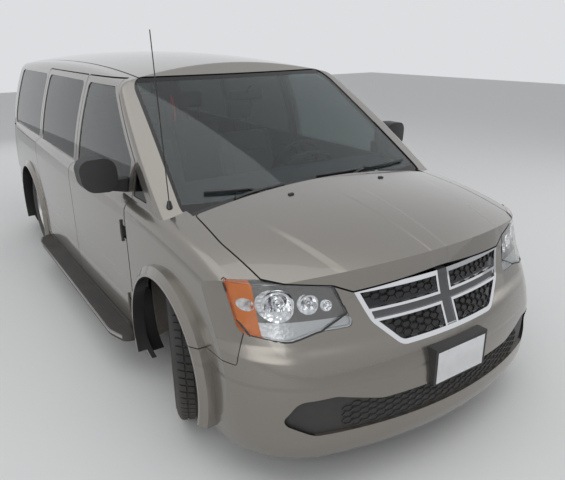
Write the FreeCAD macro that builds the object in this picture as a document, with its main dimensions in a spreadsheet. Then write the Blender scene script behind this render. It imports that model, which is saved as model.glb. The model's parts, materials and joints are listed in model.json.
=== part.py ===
import FreeCAD, Part
import Sketcher
import math
import os
from FreeCAD import Placement, Rotation, Vector

# A seven-seat minivan, in millimetres.
# The front faces -Y, the driver's side is +X, up is +Z, and the tyres stand on z = 0.
# The origin lies on the ground, halfway along and across the body.

doc = FreeCAD.newDocument("Minivan")
sheet = doc.addObject("Spreadsheet::Sheet", "Sizes")

# alias, millimetres or degrees, meaning
SIZES = (
    ("overall_length", 5150, "front bumper to rear bumper"),
    ("body_width", 1990, "across the doors, without mirrors and arch lips"),
    ("roof_height", 1750, "ground to the top of the roof"),
    ("wheelbase", 3078, "front axle to rear axle"),
    ("front_overhang", 965, "front bumper to front axle"),
    ("track_width", 1650, "between the tyres' centre planes"),
    ("tyre_radius", 362, "outside radius of a tyre"),
    ("tyre_width", 225, "section width of a tyre"),
    ("rim_radius", 216, "bead seat radius of a wheel"),
    ("hub_thickness", 16, "wheel disc at the hub"),
    ("spindle_radius", 28, "stub axle"),
    ("tank_depth", 95, "fuel tank below the floor"),
    ("engine_width", 660, "plain block for engine and gearbox"),
    ("engine_length", 638, "plain block, front to rear"),
    ("engine_height", 540, "plain block"),
    ("radiator_width", 800, "radiator core"),
    ("radiator_depth", 45, "radiator core"),
    ("radiator_height", 450, "radiator core"),
    ("wheel_offset", 40, "hub face outboard of the tyre's centre plane"),
    ("arch_radius", 405, "wheel arch opening"),
    ("arch_lift", 12, "arch centre above the wheel centre"),
    ("lip_reach", 17, "arch lip proud of the body side"),
    ("lip_width", 50, "arch lip, measured along the body side"),
    ("panel_gap", 7, "shut line between two panels"),
    ("door_thickness", 105, "door and tailgate below the belt"),
    ("frame_thickness", 45, "window frames and roof"),
    ("skin_thickness", 28, "hood, fenders and bumpers"),
    ("glass_thickness", 5, "side and rear glass"),
    ("glass_setback", 5, "glass behind the painted surface"),
    ("fit_gap", 0.3, "between a fixed piece and its seat"),
    ("door_front_to_axle", 475, "front axle to the front door's leading edge"),
    ("front_door_length", 1080, "leading edge to the middle pillar"),
    ("sliding_door_length", 1095, "middle pillar to the sliding door's rear edge"),
    ("sill_height", 315, "lower edge of the doors"),
    ("rocker_height", 215, "lower edge of the body side"),
    ("belt_height", 1080, "lower edge of the side glass"),
    ("door_top_height", 1628, "upper edge of the doors"),
    ("floor_height", 300, "top of the cabin floor"),
    ("floor_thickness", 40, "cabin floor"),
    ("cargo_floor_height", 560, "top of the floor behind the middle seats"),
    ("hinge_inset", 25, "door and tailgate hinge pins inside the painted surface"),
    ("hinge_setback", 50, "hinge pins behind the panel's leading edge"),
    ("hinge_pin_radius", 7, "door and tailgate hinge pins"),
    ("seam_depth", 8, "outer skin that carries the visible shut lines"),
    ("hood_pin_setback", 28, "hood hinge pins behind the hood's rear edge"),
    ("hood_pin_height", 1104, "hood hinge pins above the ground"),
    ("kingpin_low_x", 750, "lower ball joint from the middle"),
    ("kingpin_low_z", 195, "height of the lower ball joint"),
    ("kingpin_top_x", 600, "strut top from the middle"),
    ("kingpin_top_z", 905, "height of the strut top"),
    ("steer_half_range", 35, "Most that a front wheel turns to each side, degrees"),
    ("rest_steer", 20, "front wheels turned to the right as parked"),
    ("board_width", 150, "running board, body side to outer edge"),
    ("board_height", 268, "top of the running board"),
    ("board_thickness", 38, "running board"),
    ("mirror_width", 205, "door mirror housing"),
    ("mirror_height", 185, "door mirror housing"),
    ("mirror_depth", 120, "door mirror housing"),
    ("antenna_length", 800, "whip above the fender"),
)
for row, (alias, value, meaning) in enumerate(SIZES, 1):
    sheet.set(f"A{row}", alias)
    sheet.set(f"B{row}", str(value))
    sheet.set(f"C{row}", meaning)
    sheet.setAlias(f"B{row}", alias)
doc.recompute()


def size(alias):
    return float(sheet.get(alias))


LENGTH = size("overall_length")
HALF = size("body_width") / 2
GAP = size("panel_gap")
FIT = size("fit_gap")
NOSE = -LENGTH / 2
TAIL = LENGTH / 2
FRONT_AXLE = NOSE + size("front_overhang")
REAR_AXLE = FRONT_AXLE + size("wheelbase")
DOOR_FRONT = FRONT_AXLE + size("door_front_to_axle")
MIDDLE_PILLAR = DOOR_FRONT + size("front_door_length")
SLIDE_REAR = MIDDLE_PILLAR + size("sliding_door_length")
SILL = size("sill_height")
ROCKER = size("rocker_height")
BELT = size("belt_height")
DOOR_TOP = size("door_top_height")
FLOOR = size("floor_height")
ROOF = size("roof_height")
TYRE_R = size("tyre_radius")
TRACK_HALF = size("track_width") / 2
FAR = 3000


# Flat geometry: points are vectors with z = 0, and put() lifts them into space.
def on_circle(centre, radius, towards):
    way = towards - centre
    return centre + way * (radius / way.Length)


def mirrored(point):
    return Vector(-point.x, point.y, 0)


def arc(centre, radius, start, end, put):
    middle = on_circle(centre, radius, (start + end) * 0.5)
    return Part.Arc(put(start), put(middle), put(end)).toShape()


def blend_centre(centre1, radius1, centre2, radius2, radius, near):
    """Centre of the circle that lies inside circles 1 and 2 and touches both, nearest to near."""
    reach1 = radius1 - radius
    reach2 = radius2 - radius
    way = centre2 - centre1
    span = way.Length
    along = (reach1**2 - reach2**2 + span**2) / (2 * span)
    up = math.sqrt(reach1**2 - along**2)
    foot = centre1 + way * (along / span)
    across = Vector(-way.y, way.x, 0) * (up / span)
    return min((foot + across, foot - across), key=lambda p: (p - near).Length)


def solid_loft(wires):
    return Part.makeLoft(wires, True, False)


# The lower body, from the rocker to the hood, as plan outlines stacked upwards.
# The nose, the sides and the tail are large arcs, joined by tangent corner arcs.
SIDE_RADIUS = 60000
SIDE_MIDDLE = 150
TAIL_RADIUS = 2600
# height, nose setback, nose radius, front corner radius, side inset, rear corner radius, tail setback
BODY_PLANS = (
    (165, 55, 1950, 430, 44, 300, 45),
    (320, 0, 1950, 450, 12, 330, 3),
    (475, 0, 1950, 450, 1, 330, 0),
    (630, 34, 1880, 445, 0, 320, 62),
    (785, 100, 1800, 430, 5, 300, 140),
    (940, 145, 1750, 415, 13, 280, 152),
    (1095, 215, 1700, 395, 32, 265, 163),
    (1250, 290, 1650, 380, 64, 250, 178),
)


def side_circle(inset):
    return Vector(HALF - inset - SIDE_RADIUS, SIDE_MIDDLE, 0)


def side_x(y, inset):
    """Half width of the body at a station, for a side inset."""
    return HALF - inset - SIDE_RADIUS + math.sqrt(SIDE_RADIUS**2 - (y - SIDE_MIDDLE) ** 2)


def plan_wire(row, thickness):
    height, nose, nose_radius, front_corner, side, rear_corner, tail = row

    def put(p):
        return Vector(p.x, p.y, height)

    nose_c = Vector(0, NOSE + nose + nose_radius, 0)
    tail_c = Vector(0, TAIL - tail - TAIL_RADIUS, 0)
    side_c = side_circle(side)
    nose_r = nose_radius - thickness
    tail_r = TAIL_RADIUS - thickness
    side_r = SIDE_RADIUS - thickness
    front_r = front_corner - thickness
    rear_r = rear_corner - thickness
    front_c = blend_centre(nose_c, nose_r, side_c, side_r, front_r, Vector(HALF, NOSE, 0))
    rear_c = blend_centre(tail_c, tail_r, side_c, side_r, rear_r, Vector(HALF, TAIL, 0))
    a = on_circle(nose_c, nose_r, front_c)
    b = on_circle(side_c, side_r, front_c)
    c = on_circle(side_c, side_r, rear_c)
    d = on_circle(tail_c, tail_r, rear_c)
    return Part.Wire([
        arc(nose_c, nose_r, mirrored(a), a, put),
        arc(front_c, front_r, a, b, put),
        arc(side_c, side_r, b, c, put),
        arc(rear_c, rear_r, c, d, put),
        arc(tail_c, tail_r, d, mirrored(d), put),
        arc(mirrored(rear_c), rear_r, mirrored(d), mirrored(c), put),
        arc(mirrored(side_c), side_r, mirrored(c), mirrored(b), put),
        arc(mirrored(front_c), front_r, mirrored(b), mirrored(a), put),
    ])


# The upper side of the lower body, hood and belt line, as cross-sections along the van.
BELT_INSET = 15
BODY_FOOT = 100
# behind the nose, shoulder radius, middle height, crown radius
HOOD_SECTIONS = (
    (-200, 95, 815, 3000),
    (700, 95, 1105, 3600),
    (1600, 80, 1158, 4600),
    (2500, 75, 1160, 5000),
    (3400, 75, 1172, 5000),
    (4300, 75, 1185, 5000),
    (5200, 75, 1198, 5000),
)


def hood_wire(row, thickness):
    station, shoulder, middle, crown = row
    y = NOSE + station

    def put(p):
        return Vector(p.x, y, p.y)

    half = side_x(y, BELT_INSET) - thickness
    crown_c = Vector(0, middle - crown, 0)
    crown_r = crown - thickness
    corner_r = shoulder - thickness
    corner_x = half - corner_r
    corner_z = crown_c.y + math.sqrt((crown_r - corner_r) ** 2 - corner_x**2)
    corner_c = Vector(corner_x, corner_z, 0)
    foot = Vector(half, BODY_FOOT, 0)
    side = Vector(half, corner_z, 0)
    top = on_circle(crown_c, crown_r, corner_c)
    return Part.Wire([
        Part.makeLine(put(mirrored(foot)), put(foot)),
        Part.makeLine(put(foot), put(side)),
        arc(corner_c, corner_r, side, top, put),
        arc(crown_c, crown_r, top, mirrored(top), put),
        arc(mirrored(corner_c), corner_r, mirrored(top), mirrored(side), put),
        Part.makeLine(put(mirrored(side)), put(mirrored(foot))),
    ])


def lower_body(side_thickness, top_thickness):
    plans = solid_loft([plan_wire(row, side_thickness) for row in BODY_PLANS])
    tops = solid_loft([hood_wire(row, top_thickness) for row in HOOD_SECTIONS])
    return plans.common(tops)


# The cabin above the belt: cross-sections with curved sides, rolled edges and a crowned roof.
CABIN_SIDE_RADIUS = 2400
CABIN_SIDE_LEVEL = 700
# behind the nose, side inset, below the roof's top, crown radius, roll radius
CABIN_SECTIONS = (
    (700, 72, 230, 3300, 100),
    (1630, 53, 84, 3400, 106),
    (2560, 46, 12, 3500, 110),
    (3490, 46, 0, 3600, 110),
    (4420, 52, 20, 3600, 110),
    (5350, 68, 78, 3400, 105),
)


def cabin_wire(row, thickness, foot_level):
    station, side, drop, crown, roll = row
    y = NOSE + station

    def put(p):
        return Vector(p.x, y, p.y)

    side_c = Vector(HALF - side - CABIN_SIDE_RADIUS, CABIN_SIDE_LEVEL, 0)
    side_r = CABIN_SIDE_RADIUS - thickness
    crown_c = Vector(0, ROOF - drop - crown, 0)
    crown_r = crown - thickness
    roll_r = roll - thickness
    roll_c = blend_centre(side_c, side_r, crown_c, crown_r, roll_r, Vector(HALF, ROOF, 0))
    low = Vector(side_c.x + math.sqrt(side_r**2 - (foot_level - CABIN_SIDE_LEVEL) ** 2), foot_level, 0)
    side = on_circle(side_c, side_r, roll_c)
    top = on_circle(crown_c, crown_r, roll_c)
    return Part.Wire([
        Part.makeLine(put(mirrored(low)), put(low)),
        arc(side_c, side_r, low, side, put),
        arc(roll_c, roll_r, side, top, put),
        arc(crown_c, crown_r, top, mirrored(top), put),
        arc(mirrored(roll_c), roll_r, mirrored(top), mirrored(side), put),
        arc(mirrored(side_c), side_r, mirrored(side), mirrored(low), put),
    ])


# The windscreen and tailgate glass planes, as bowed outlines stacked upwards.
GLASS_TAIL_RADIUS = 2600
ENDS_HALF = 1200
# height, windscreen behind the nose, windscreen radius, tailgate ahead of the tail
END_PLANS = (
    (540, 110, 2000, 40),
    (960, 752, 2350, 44),
    (1380, 1420, 2900, 78),
    (1800, 2145, 3500, 245),
)


def ends_wire(row, screen_thickness, tail_thickness):
    height, screen, screen_radius, tail = row

    def put(p):
        return Vector(p.x, p.y, height)

    screen_c = Vector(0, NOSE + screen + screen_radius, 0)
    tail_c = Vector(0, TAIL - tail - GLASS_TAIL_RADIUS, 0)
    screen_r = screen_radius - screen_thickness
    tail_r = GLASS_TAIL_RADIUS - tail_thickness
    a = Vector(ENDS_HALF, screen_c.y - math.sqrt(screen_r**2 - ENDS_HALF**2), 0)
    b = Vector(ENDS_HALF, tail_c.y + math.sqrt(tail_r**2 - ENDS_HALF**2), 0)
    return Part.Wire([
        arc(screen_c, screen_r, mirrored(a), a, put),
        Part.makeLine(put(a), put(b)),
        arc(tail_c, tail_r, b, mirrored(b), put),
        Part.makeLine(put(mirrored(b)), put(mirrored(a))),
    ])


def cabin(side_thickness, screen_thickness, tail_thickness, foot_level):
    tube = solid_loft([cabin_wire(row, side_thickness, foot_level) for row in CABIN_SECTIONS])
    ends = solid_loft([ends_wire(row, screen_thickness, tail_thickness) for row in END_PLANS])
    return tube.common(ends)


def edges_where(shape, test):
    """Edges whose points at a tenth, a half and nine tenths all pass the test."""
    found = []
    for edge in shape.Edges:
        first, last = edge.FirstParameter, edge.LastParameter
        if all(test(edge.valueAt(first + (last - first) * share)) for share in (0.1, 0.5, 0.9)):
            found.append(edge)
    return found


# Prisms that cut panels out of the shell. An outline is a table of corners: u, v, corner radius.
def outline_face(corners, plane):
    count = len(corners)
    edges = []
    points = [Vector(u, v, 0) for u, v, _ in corners]

    def put(p):
        if plane == "side":
            return Vector(0, p.x, p.y)
        if plane == "front":
            return Vector(p.x, 0, p.y)
        return Vector(p.x, p.y, 0)

    trims = []
    for i, (_, _, radius) in enumerate(corners):
        here = points[i]
        back = (points[i - 1] - here).normalize()
        ahead = (points[(i + 1) % count] - here).normalize()
        half_angle = back.getAngle(ahead) / 2
        if radius == 0:
            trims.append((here, here, None))
            continue
        cut = radius / math.tan(half_angle)
        centre = here + (back + ahead).normalize() * (radius / math.sin(half_angle))
        trims.append((here + back * cut, here + ahead * cut, on_circle(centre, radius, here)))
    for i, (start, end, middle) in enumerate(trims):
        if middle is not None:
            edges.append(Part.Arc(put(start), put(middle), put(end)).toShape())
        edges.append(Part.makeLine(put(end), put(trims[(i + 1) % count][0])))
    return Part.Face(Part.Wire(edges))


DIRECTIONS = {"side": Vector(1, 0, 0), "front": Vector(0, 1, 0), "plan": Vector(0, 0, 1)}


def prism(corners, plane, low, high, grow=0.0):
    face = outline_face(corners, plane)
    if grow:
        face = face.makeOffset2D(grow)
        if face.ShapeType != "Face":
            face = Part.Face(face)
    way = DIRECTIONS[plane]
    face.translate(way * low)
    return face.extrude(way * (high - low))


def flipped(shape):
    return shape.mirror(Vector(0, 0, 0), Vector(1, 0, 0))


def both(shape):
    return shape.fuse(flipped(shape))


def pair(shape):
    return Part.makeCompound([shape, flipped(shape)])


def largest(shape):
    return max(shape.Solids, key=lambda s: s.Volume)


def box(x1, x2, y1, y2, z1, z2):
    return Part.makeBox(x2 - x1, y2 - y1, z2 - z1, Vector(x1, y1, z1))


def rod(start, end, radius):
    return Part.makeCylinder(radius, (end - start).Length, start, end - start)


def add(name, shape):
    made = doc.addObject("Part::Feature", name)
    made.Label = name
    made.Shape = shape
    return made


def bound_box(name, corner, lengths):
    """A plain block whose corner and lengths are expressions of the sizes."""
    made = doc.addObject("Part::Box", name)
    made.Label = name
    for axis, text in zip("xyz", corner):
        made.setExpression(f"Placement.Base.{axis}", text)
    for length, text in zip(("Length", "Width", "Height"), lengths):
        made.setExpression(length, text)
    return made
# Wheel arches: a round opening at each wheel and a raised lip round it.
ARCH_R = size("arch_radius")
LIP_R = ARCH_R + size("lip_width")
LIP_OUT = HALF + size("lip_reach") - 12
LIP_EDGE = 14
ARCH_Z = TYRE_R + size("arch_lift")
HOUSE_X = 480


def across(y, z, radius, x1, x2):
    """A cylinder lying across the van."""
    return Part.makeCylinder(radius, x2 - x1, Vector(x1, y, z), Vector(1, 0, 0))


def arch_lip(y):
    top = ARCH_Z + ARCH_R
    profile = Part.makePolygon([
        Vector(HALF - 80, y, top - 5),
        Vector(LIP_OUT, y, top - 5),
        Vector(LIP_OUT, y, top + LIP_EDGE),
        Vector(LIP_OUT - 24, y, ARCH_Z + LIP_R),
        Vector(HALF - 80, y, ARCH_Z + LIP_R),
        Vector(HALF - 80, y, top - 5),
    ])
    ring = Part.Face(profile).revolve(Vector(0, y, ARCH_Z), Vector(1, 0, 0), 360)
    return ring.common(box(HALF - 90, HALF + 60, y - LIP_R - 5, y + LIP_R + 5, ROCKER, top + LIP_R))


arch_cuts = both(across(FRONT_AXLE, ARCH_Z, ARCH_R, HOUSE_X, FAR).fuse(across(REAR_AXLE, ARCH_Z, ARCH_R, HOUSE_X, FAR)))
lips = both(arch_lip(FRONT_AXLE).fuse(arch_lip(REAR_AXLE)))

# The body's outside, its inside, and the walls between them.
DOOR_T = size("door_thickness")
FRAME_T = size("frame_thickness")
SKIN_T = size("skin_thickness")
SEAM = size("seam_depth")
GLASS_SET = size("glass_setback")
GLASS_IN = GLASS_SET + size("glass_thickness")
CABIN_FOOT = 560
SCREEN_SLOPE = 2.0
SCREEN_T = SCREEN_SLOPE * FRAME_T
PILLAR_EDGE = 38
TAIL_EDGE = 70

lower_outside = lower_body(0, 0)
sharp_cabin = cabin(0, 0, 0, CABIN_FOOT)
screen_edges = edges_where(sharp_cabin, lambda p: p.z > 950 and p.y < NOSE + 2400)
screen_edges = [e for e in screen_edges if e.BoundBox.YMin > NOSE + 650]
cabin_outside = sharp_cabin.makeFillet(PILLAR_EDGE, screen_edges)
tail_edges = edges_where(cabin_outside, lambda p: p.y > TAIL - 350 and p.z > CABIN_FOOT + 5)
cabin_outside = cabin_outside.makeFillet(TAIL_EDGE, tail_edges)

lower_arched = lower_outside.fuse(lips).cut(arch_cuts)
cabin_inside = cabin(FRAME_T, SCREEN_T, FRAME_T + 20, CABIN_FOOT - 60)
lower_inside = lower_body(DOOR_T, SKIN_T)
outside = lower_arched.fuse(cabin_outside.cut(arch_cuts))
walls = outside.cut([lower_inside, cabin_inside])
left_walls = walls.common(box(0, FAR, NOSE - 100, TAIL + 100, 0, ROOF + 50))
skin = lower_arched.cut(lower_body(SKIN_T, SKIN_T))
under_seam = lower_body(SEAM, SEAM).fuse(cabin(SEAM, SCREEN_SLOPE * SEAM, SEAM, CABIN_FOOT + SEAM))
glass_layer = cabin(GLASS_SET, SCREEN_SLOPE * GLASS_SET, GLASS_SET, CABIN_FOOT)
glass_layer = glass_layer.cut(cabin(GLASS_IN, SCREEN_SLOPE * GLASS_IN, GLASS_IN, CABIN_FOOT - 20))

# Side-view outlines: y, z, corner radius. The windscreen pillar leans along PILLAR_LINE.
PILLAR_SLOPE = 0.725
PILLAR_Y = NOSE + 1585
PILLAR_Z = 1350
PILLAR_WIDTH = 28
HALF_GAP = GAP / 2


def pillar_y(z, back):
    """Where the pillar's rear edge, moved back at right angles to itself, is at height z."""
    lean = math.sqrt(1 + PILLAR_SLOPE**2) / PILLAR_SLOPE
    return PILLAR_Y + (z - PILLAR_Z) / PILLAR_SLOPE + back * lean


def pillar_z(y, back):
    return PILLAR_Z + (y - pillar_y(PILLAR_Z, back)) * PILLAR_SLOPE


DOOR_REAR = MIDDLE_PILLAR - HALF_GAP
FRONT_DOOR = (
    (DOOR_FRONT, SILL, 60),
    (DOOR_REAR, SILL, 25),
    (DOOR_REAR, DOOR_TOP, 25),
    (pillar_y(DOOR_TOP, 0), DOOR_TOP, 60),
    (DOOR_FRONT, pillar_z(DOOR_FRONT, 0), 15),
)
WINDOW_TOP = DOOR_TOP - 38
FRONT_WINDOW = (
    (DOOR_FRONT + 52, BELT, 12),
    (DOOR_REAR - 52, BELT + 4, 25),
    (DOOR_REAR - 52, WINDOW_TOP, 40),
    (pillar_y(WINDOW_TOP, PILLAR_WIDTH), WINDOW_TOP, 40),
    (DOOR_FRONT + 52, pillar_z(DOOR_FRONT + 52, PILLAR_WIDTH), 10),
)
TRIANGLE = (
    (pillar_y(BELT - 4, 10), BELT - 4, 8),
    (DOOR_FRONT - GAP - 8, BELT - 4, 8),
    (DOOR_FRONT - GAP - 8, pillar_z(DOOR_FRONT - GAP - 8, 10), 8),
)
SLIDE_FRONT = MIDDLE_PILLAR + HALF_GAP
SLIDING_DOOR = (
    (SLIDE_FRONT, SILL, 25),
    (SLIDE_REAR - 95, SILL, 60),
    (SLIDE_REAR - 95, 520, 140),
    (SLIDE_REAR, 700, 140),
    (SLIDE_REAR, DOOR_TOP, 40),
    (SLIDE_FRONT, DOOR_TOP, 25),
)
SLIDING_WINDOW = (
    (SLIDE_FRONT + 52, BELT + 5, 25),
    (SLIDE_REAR - 48, BELT + 10, 45),
    (SLIDE_REAR - 48, WINDOW_TOP, 50),
    (SLIDE_FRONT + 52, WINDOW_TOP, 40),
)
QUARTER_WINDOW = (
    (SLIDE_REAR + 45, BELT + 12, 45),
    (TAIL - 345, BELT + 20, 60),
    (TAIL - 420, WINDOW_TOP - 4, 60),
    (SLIDE_REAR + 45, WINDOW_TOP, 50),
)
# Front-view and plan-view outlines: x, z or y, corner radius.
GATE_TOP_Y = TAIL - 238
GATE = (
    (-800, 640, 60), (800, 640, 60), (835, 1050, 300), (705, 1640, 200),
    (690, 1900, 0), (-690, 1900, 0), (-705, 1640, 200), (-835, 1050, 300),
)
GATE_WINDOW = (
    (-700, 1130, 70), (700, 1130, 70), (590, 1590, 60), (-590, 1590, 60),
)
SCREEN = (
    (-815, 1020, 60), (815, 1020, 60), (782, 1200, 200), (692, 1640, 100), (-692, 1640, 100), (-782, 1200, 200),
)
LAMP = (
    (474, 750, 20), (625, 746, 90), (740, 716, 60), (882, 742, 35), (897, 944, 14), (772, 948, 60), (533, 914, 12),
)
GRILLE = (
    (-285, 640, 70), (285, 640, 70), (400, 752, 90), (458, 890, 12), (-458, 890, 12), (-400, 752, 90),
)
INTAKE = (
    (-690, 318, 90), (690, 318, 90), (806, 380, 35), (745, 484, 60), (600, 492, 90), (400, 440, 120),
    (-400, 440, 120), (-600, 492, 90), (-745, 484, 60), (-806, 380, 35),
)
HOOD_REAR = NOSE + 975
HOOD = (
    (-765, HOOD_REAR, 25), (765, HOOD_REAR, 25), (788, -1900, 600), (768, -2330, 0),
    (768, -2700, 0), (-768, -2700, 0), (-768, -2330, 0), (-788, -1900, 600),
)
HOOD_LINE = (
    (-1100, 962, 0), (-772, 950, 80), (-534, 917, 40), (-454, 882, 25), (0, 910, 900), (454, 882, 25),
    (534, 917, 40), (772, 950, 80), (1100, 962, 0), (1100, 1400, 0), (-1100, 1400, 0),
)
LAMP_Y = NOSE + 480
BUMPER_TOP = 600
BUMPER_SEAM = FRONT_AXLE - 605



def side_prism(outline, grow=0.0):
    return prism(outline, "side", 400, FAR, grow)


def front_end_prism(outline, grow=0.0):
    return prism(outline, "front", NOSE - 100, LAMP_Y + grow, grow)


SCREEN_REAR = MIDDLE_PILLAR - 250
screen_hole = prism(SCREEN, "front", NOSE, SCREEN_REAR)
screen_room = prism(SCREEN, "front", NOSE, SCREEN_REAR, GAP)
gate_window_hole = prism(GATE_WINDOW, "front", GATE_TOP_Y + 30, TAIL + 100)
lamp_hole = both(front_end_prism(LAMP, FIT))
grille_hole = prism(GRILLE, "front", NOSE - 100, LAMP_Y, FIT)
intake_hole = prism(INTAKE, "front", NOSE - 100, LAMP_Y)
hood_region = prism(HOOD, "plan", 600, ROOF).common(prism(HOOD_LINE, "front", NOSE - 100, HOOD_REAR + 1))
hood_hole = prism(HOOD, "plan", 600, ROOF, GAP).common(prism(HOOD_LINE, "front", NOSE - 100, HOOD_REAR + GAP, GAP))

# Front doors, each with a stepped rear edge that swings clear of the middle pillar.
STEP_BACK = 20
HINGE_IN = size("hinge_inset")
HINGE_BACK = size("hinge_setback")
PIN_R = size("hinge_pin_radius")
SWING_ROOM = 5.1
HINGE_X = HALF - HINGE_IN
HINGE_Y = DOOR_FRONT + HINGE_BACK
HINGE_LEVELS = (450, 880)
BRACKET_HALF = 30
POCKET_ROOM = 6
door_swing = Part.makeCylinder(
    math.hypot(HINGE_IN, HINGE_BACK) + SWING_ROOM, ROOF, Vector(HINGE_X, HINGE_Y, 0)
)


def door_pockets():
    cut = None
    for level in HINGE_LEVELS:
        low = level - BRACKET_HALF - POCKET_ROOM
        high = level + BRACKET_HALF + POCKET_ROOM
        room = PIN_R + 1 + POCKET_ROOM
        pocket = box(HALF - 300, HINGE_X + room, DOOR_FRONT - 50, HINGE_Y + room, low, high)
        bore = Part.makeCylinder(PIN_R + FIT, high - low + 50, Vector(HINGE_X, HINGE_Y, low - 25))
        cut = pocket.fuse(bore) if cut is None else cut.fuse(pocket).fuse(bore)
    return cut


def door_hinges():
    made = []
    reach = DOOR_T - HINGE_IN
    for level in HINGE_LEVELS:
        low = level - BRACKET_HALF
        high = level + BRACKET_HALF
        arm = box(HINGE_X - reach + 2, HINGE_X, HINGE_Y - 8, HINGE_Y + 8, low, high)
        leg = box(HINGE_X - reach + 2, HINGE_X - reach + 18, DOOR_FRONT - GAP, HINGE_Y + 8, low, high)
        eye = Part.makeCylinder(8, high - low, Vector(HINGE_X, HINGE_Y, low))
        pin = Part.makeCylinder(PIN_R, high - low + 60, Vector(HINGE_X, HINGE_Y, low - 30))
        made.append(arm.fuse(leg).fuse(eye).fuse(pin))
    return Part.makeCompound(made)


door_outline = side_prism(FRONT_DOOR)
recess = box(400, FAR, DOOR_REAR - STEP_BACK, DOOR_REAR + 1, 0, ROOF)
front_door = left_walls.common(door_outline)
front_door = front_door.cut([recess.common(under_seam), side_prism(FRONT_WINDOW), door_pockets(), screen_room])
HANDLE_OUT = 20
HANDLE = ((DOOR_REAR - 250, BELT - 152, 12), (DOOR_REAR - 60, BELT - 148, 12), (DOOR_REAR - 60, BELT - 116, 12),
    (DOOR_REAR - 250, BELT - 122, 12))
SLIDE_HANDLE = ((SLIDE_FRONT + 50, BELT - 148, 12), (SLIDE_FRONT + 240, BELT - 144, 12),
    (SLIDE_FRONT + 240, BELT - 114, 12), (SLIDE_FRONT + 50, BELT - 116, 12))
handle_layer = lower_body(-HANDLE_OUT, 0)
front_door = largest(front_door.fuse(handle_layer.common(side_prism(HANDLE)).cut(lower_inside)))
front_glass = glass_layer.common(side_prism(FRONT_WINDOW, -FIT))

# Sliding doors, shown shut: a visible gap outside, a close fit behind it.
slide_outline = side_prism(SLIDING_DOOR)
slide_inner = side_prism(SLIDING_DOOR, GAP - FIT)
slide_rest = slide_inner.common(box(400, FAR, SLIDE_FRONT, TAIL, 0, ROOF))
slide_rim = slide_rest.cut([slide_outline, under_seam])
sliding_door = left_walls.common(slide_rest).cut([slide_rim, side_prism(SLIDING_WINDOW)])
sliding_door = largest(sliding_door.fuse(handle_layer.common(side_prism(SLIDE_HANDLE)).cut(lower_inside)))
TRACK = (
    (SLIDE_REAR + 12, BELT - 34, 4), (TAIL - 235, BELT - 24, 4), (TAIL - 235, BELT - 10, 4), (SLIDE_REAR + 12, BELT - 20, 4),
)

# Tailgate, hinged under the rear edge of the roof.
gate_outline = prism(GATE, "front", GATE_TOP_Y + HALF_GAP, TAIL + 100)
gate_hole = prism(GATE, "front", GATE_TOP_Y - HALF_GAP, TAIL + 100, GAP)
gate_hole = gate_hole.common(box(-FAR, FAR, GATE_TOP_Y - HALF_GAP, TAIL + 100, 0, ROOF + 50))
GATE_PIN_Y = GATE_TOP_Y + HALF_GAP + HINGE_BACK


def top_height(shape, x, y):
    """Height of a shape's upper surface above a point of the floor."""
    return Part.makeLine(Vector(x, y, 0), Vector(x, y, ROOF + 200)).common(shape).BoundBox.ZMax


GATE_PIN_Z = top_height(cabin_outside, 0, GATE_TOP_Y + HALF_GAP) - HINGE_IN
GATE_PIN_X = 200
gate_swing = across(GATE_PIN_Y, GATE_PIN_Z, math.hypot(HINGE_IN, HINGE_BACK) + SWING_ROOM, -FAR, FAR)
BRACKET_W = 24


def gate_pockets():
    cut = None
    for x in (-GATE_PIN_X, GATE_PIN_X):
        low = x - BRACKET_W / 2 - POCKET_ROOM
        high = x + BRACKET_W / 2 + POCKET_ROOM
        room = PIN_R + 1 + POCKET_ROOM
        pocket = box(low, high, GATE_TOP_Y - 50, GATE_PIN_Y + room, GATE_PIN_Z - 90, GATE_PIN_Z + room - 4)
        bore = across(GATE_PIN_Y, GATE_PIN_Z, PIN_R + FIT, low - 25, high + 25)
        cut = pocket.fuse(bore) if cut is None else cut.fuse(pocket).fuse(bore)
    return cut


def gate_hinges(roof):
    made = []
    for x in (-GATE_PIN_X, GATE_PIN_X):
        low = x - BRACKET_W / 2
        high = x + BRACKET_W / 2
        arm = box(low, high, GATE_PIN_Y - 8, GATE_PIN_Y + 8, GATE_PIN_Z - 72, GATE_PIN_Z)
        leg = box(low, high, GATE_PIN_Y - 115, GATE_PIN_Y + 8, GATE_PIN_Z - 72, GATE_PIN_Z - 60)
        riser = box(low, high, GATE_PIN_Y - 115, GATE_PIN_Y - 103, GATE_PIN_Z - 72, GATE_PIN_Z)
        eye = across(GATE_PIN_Y, GATE_PIN_Z, 8, low, high)
        pin = across(GATE_PIN_Y, GATE_PIN_Z, PIN_R, low - 24, high + 24)
        made.append(largest(arm.fuse(leg).fuse(riser).fuse(eye).fuse(pin).cut(roof)))
    return Part.makeCompound(made)


GATE_STEP = 6
gate_inner = prism(GATE, "front", GATE_TOP_Y + HALF_GAP, TAIL + 100, -GATE_STEP)
gate_inner = gate_inner.fuse(prism(GATE, "front", GATE_TOP_Y + HALF_GAP, GATE_TOP_Y + 120).common(
    box(-660, 660, 0, FAR, 1500, ROOF + 50)))
gate_rim = gate_outline.cut(gate_inner).common(under_seam)
liftgate = largest(walls.common(gate_outline).cut([gate_rim, gate_window_hole, gate_pockets()]))
gate_glass = largest(glass_layer.common(prism(GATE_WINDOW, "front", GATE_TOP_Y + 30, TAIL + 100, -FIT)))

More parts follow.
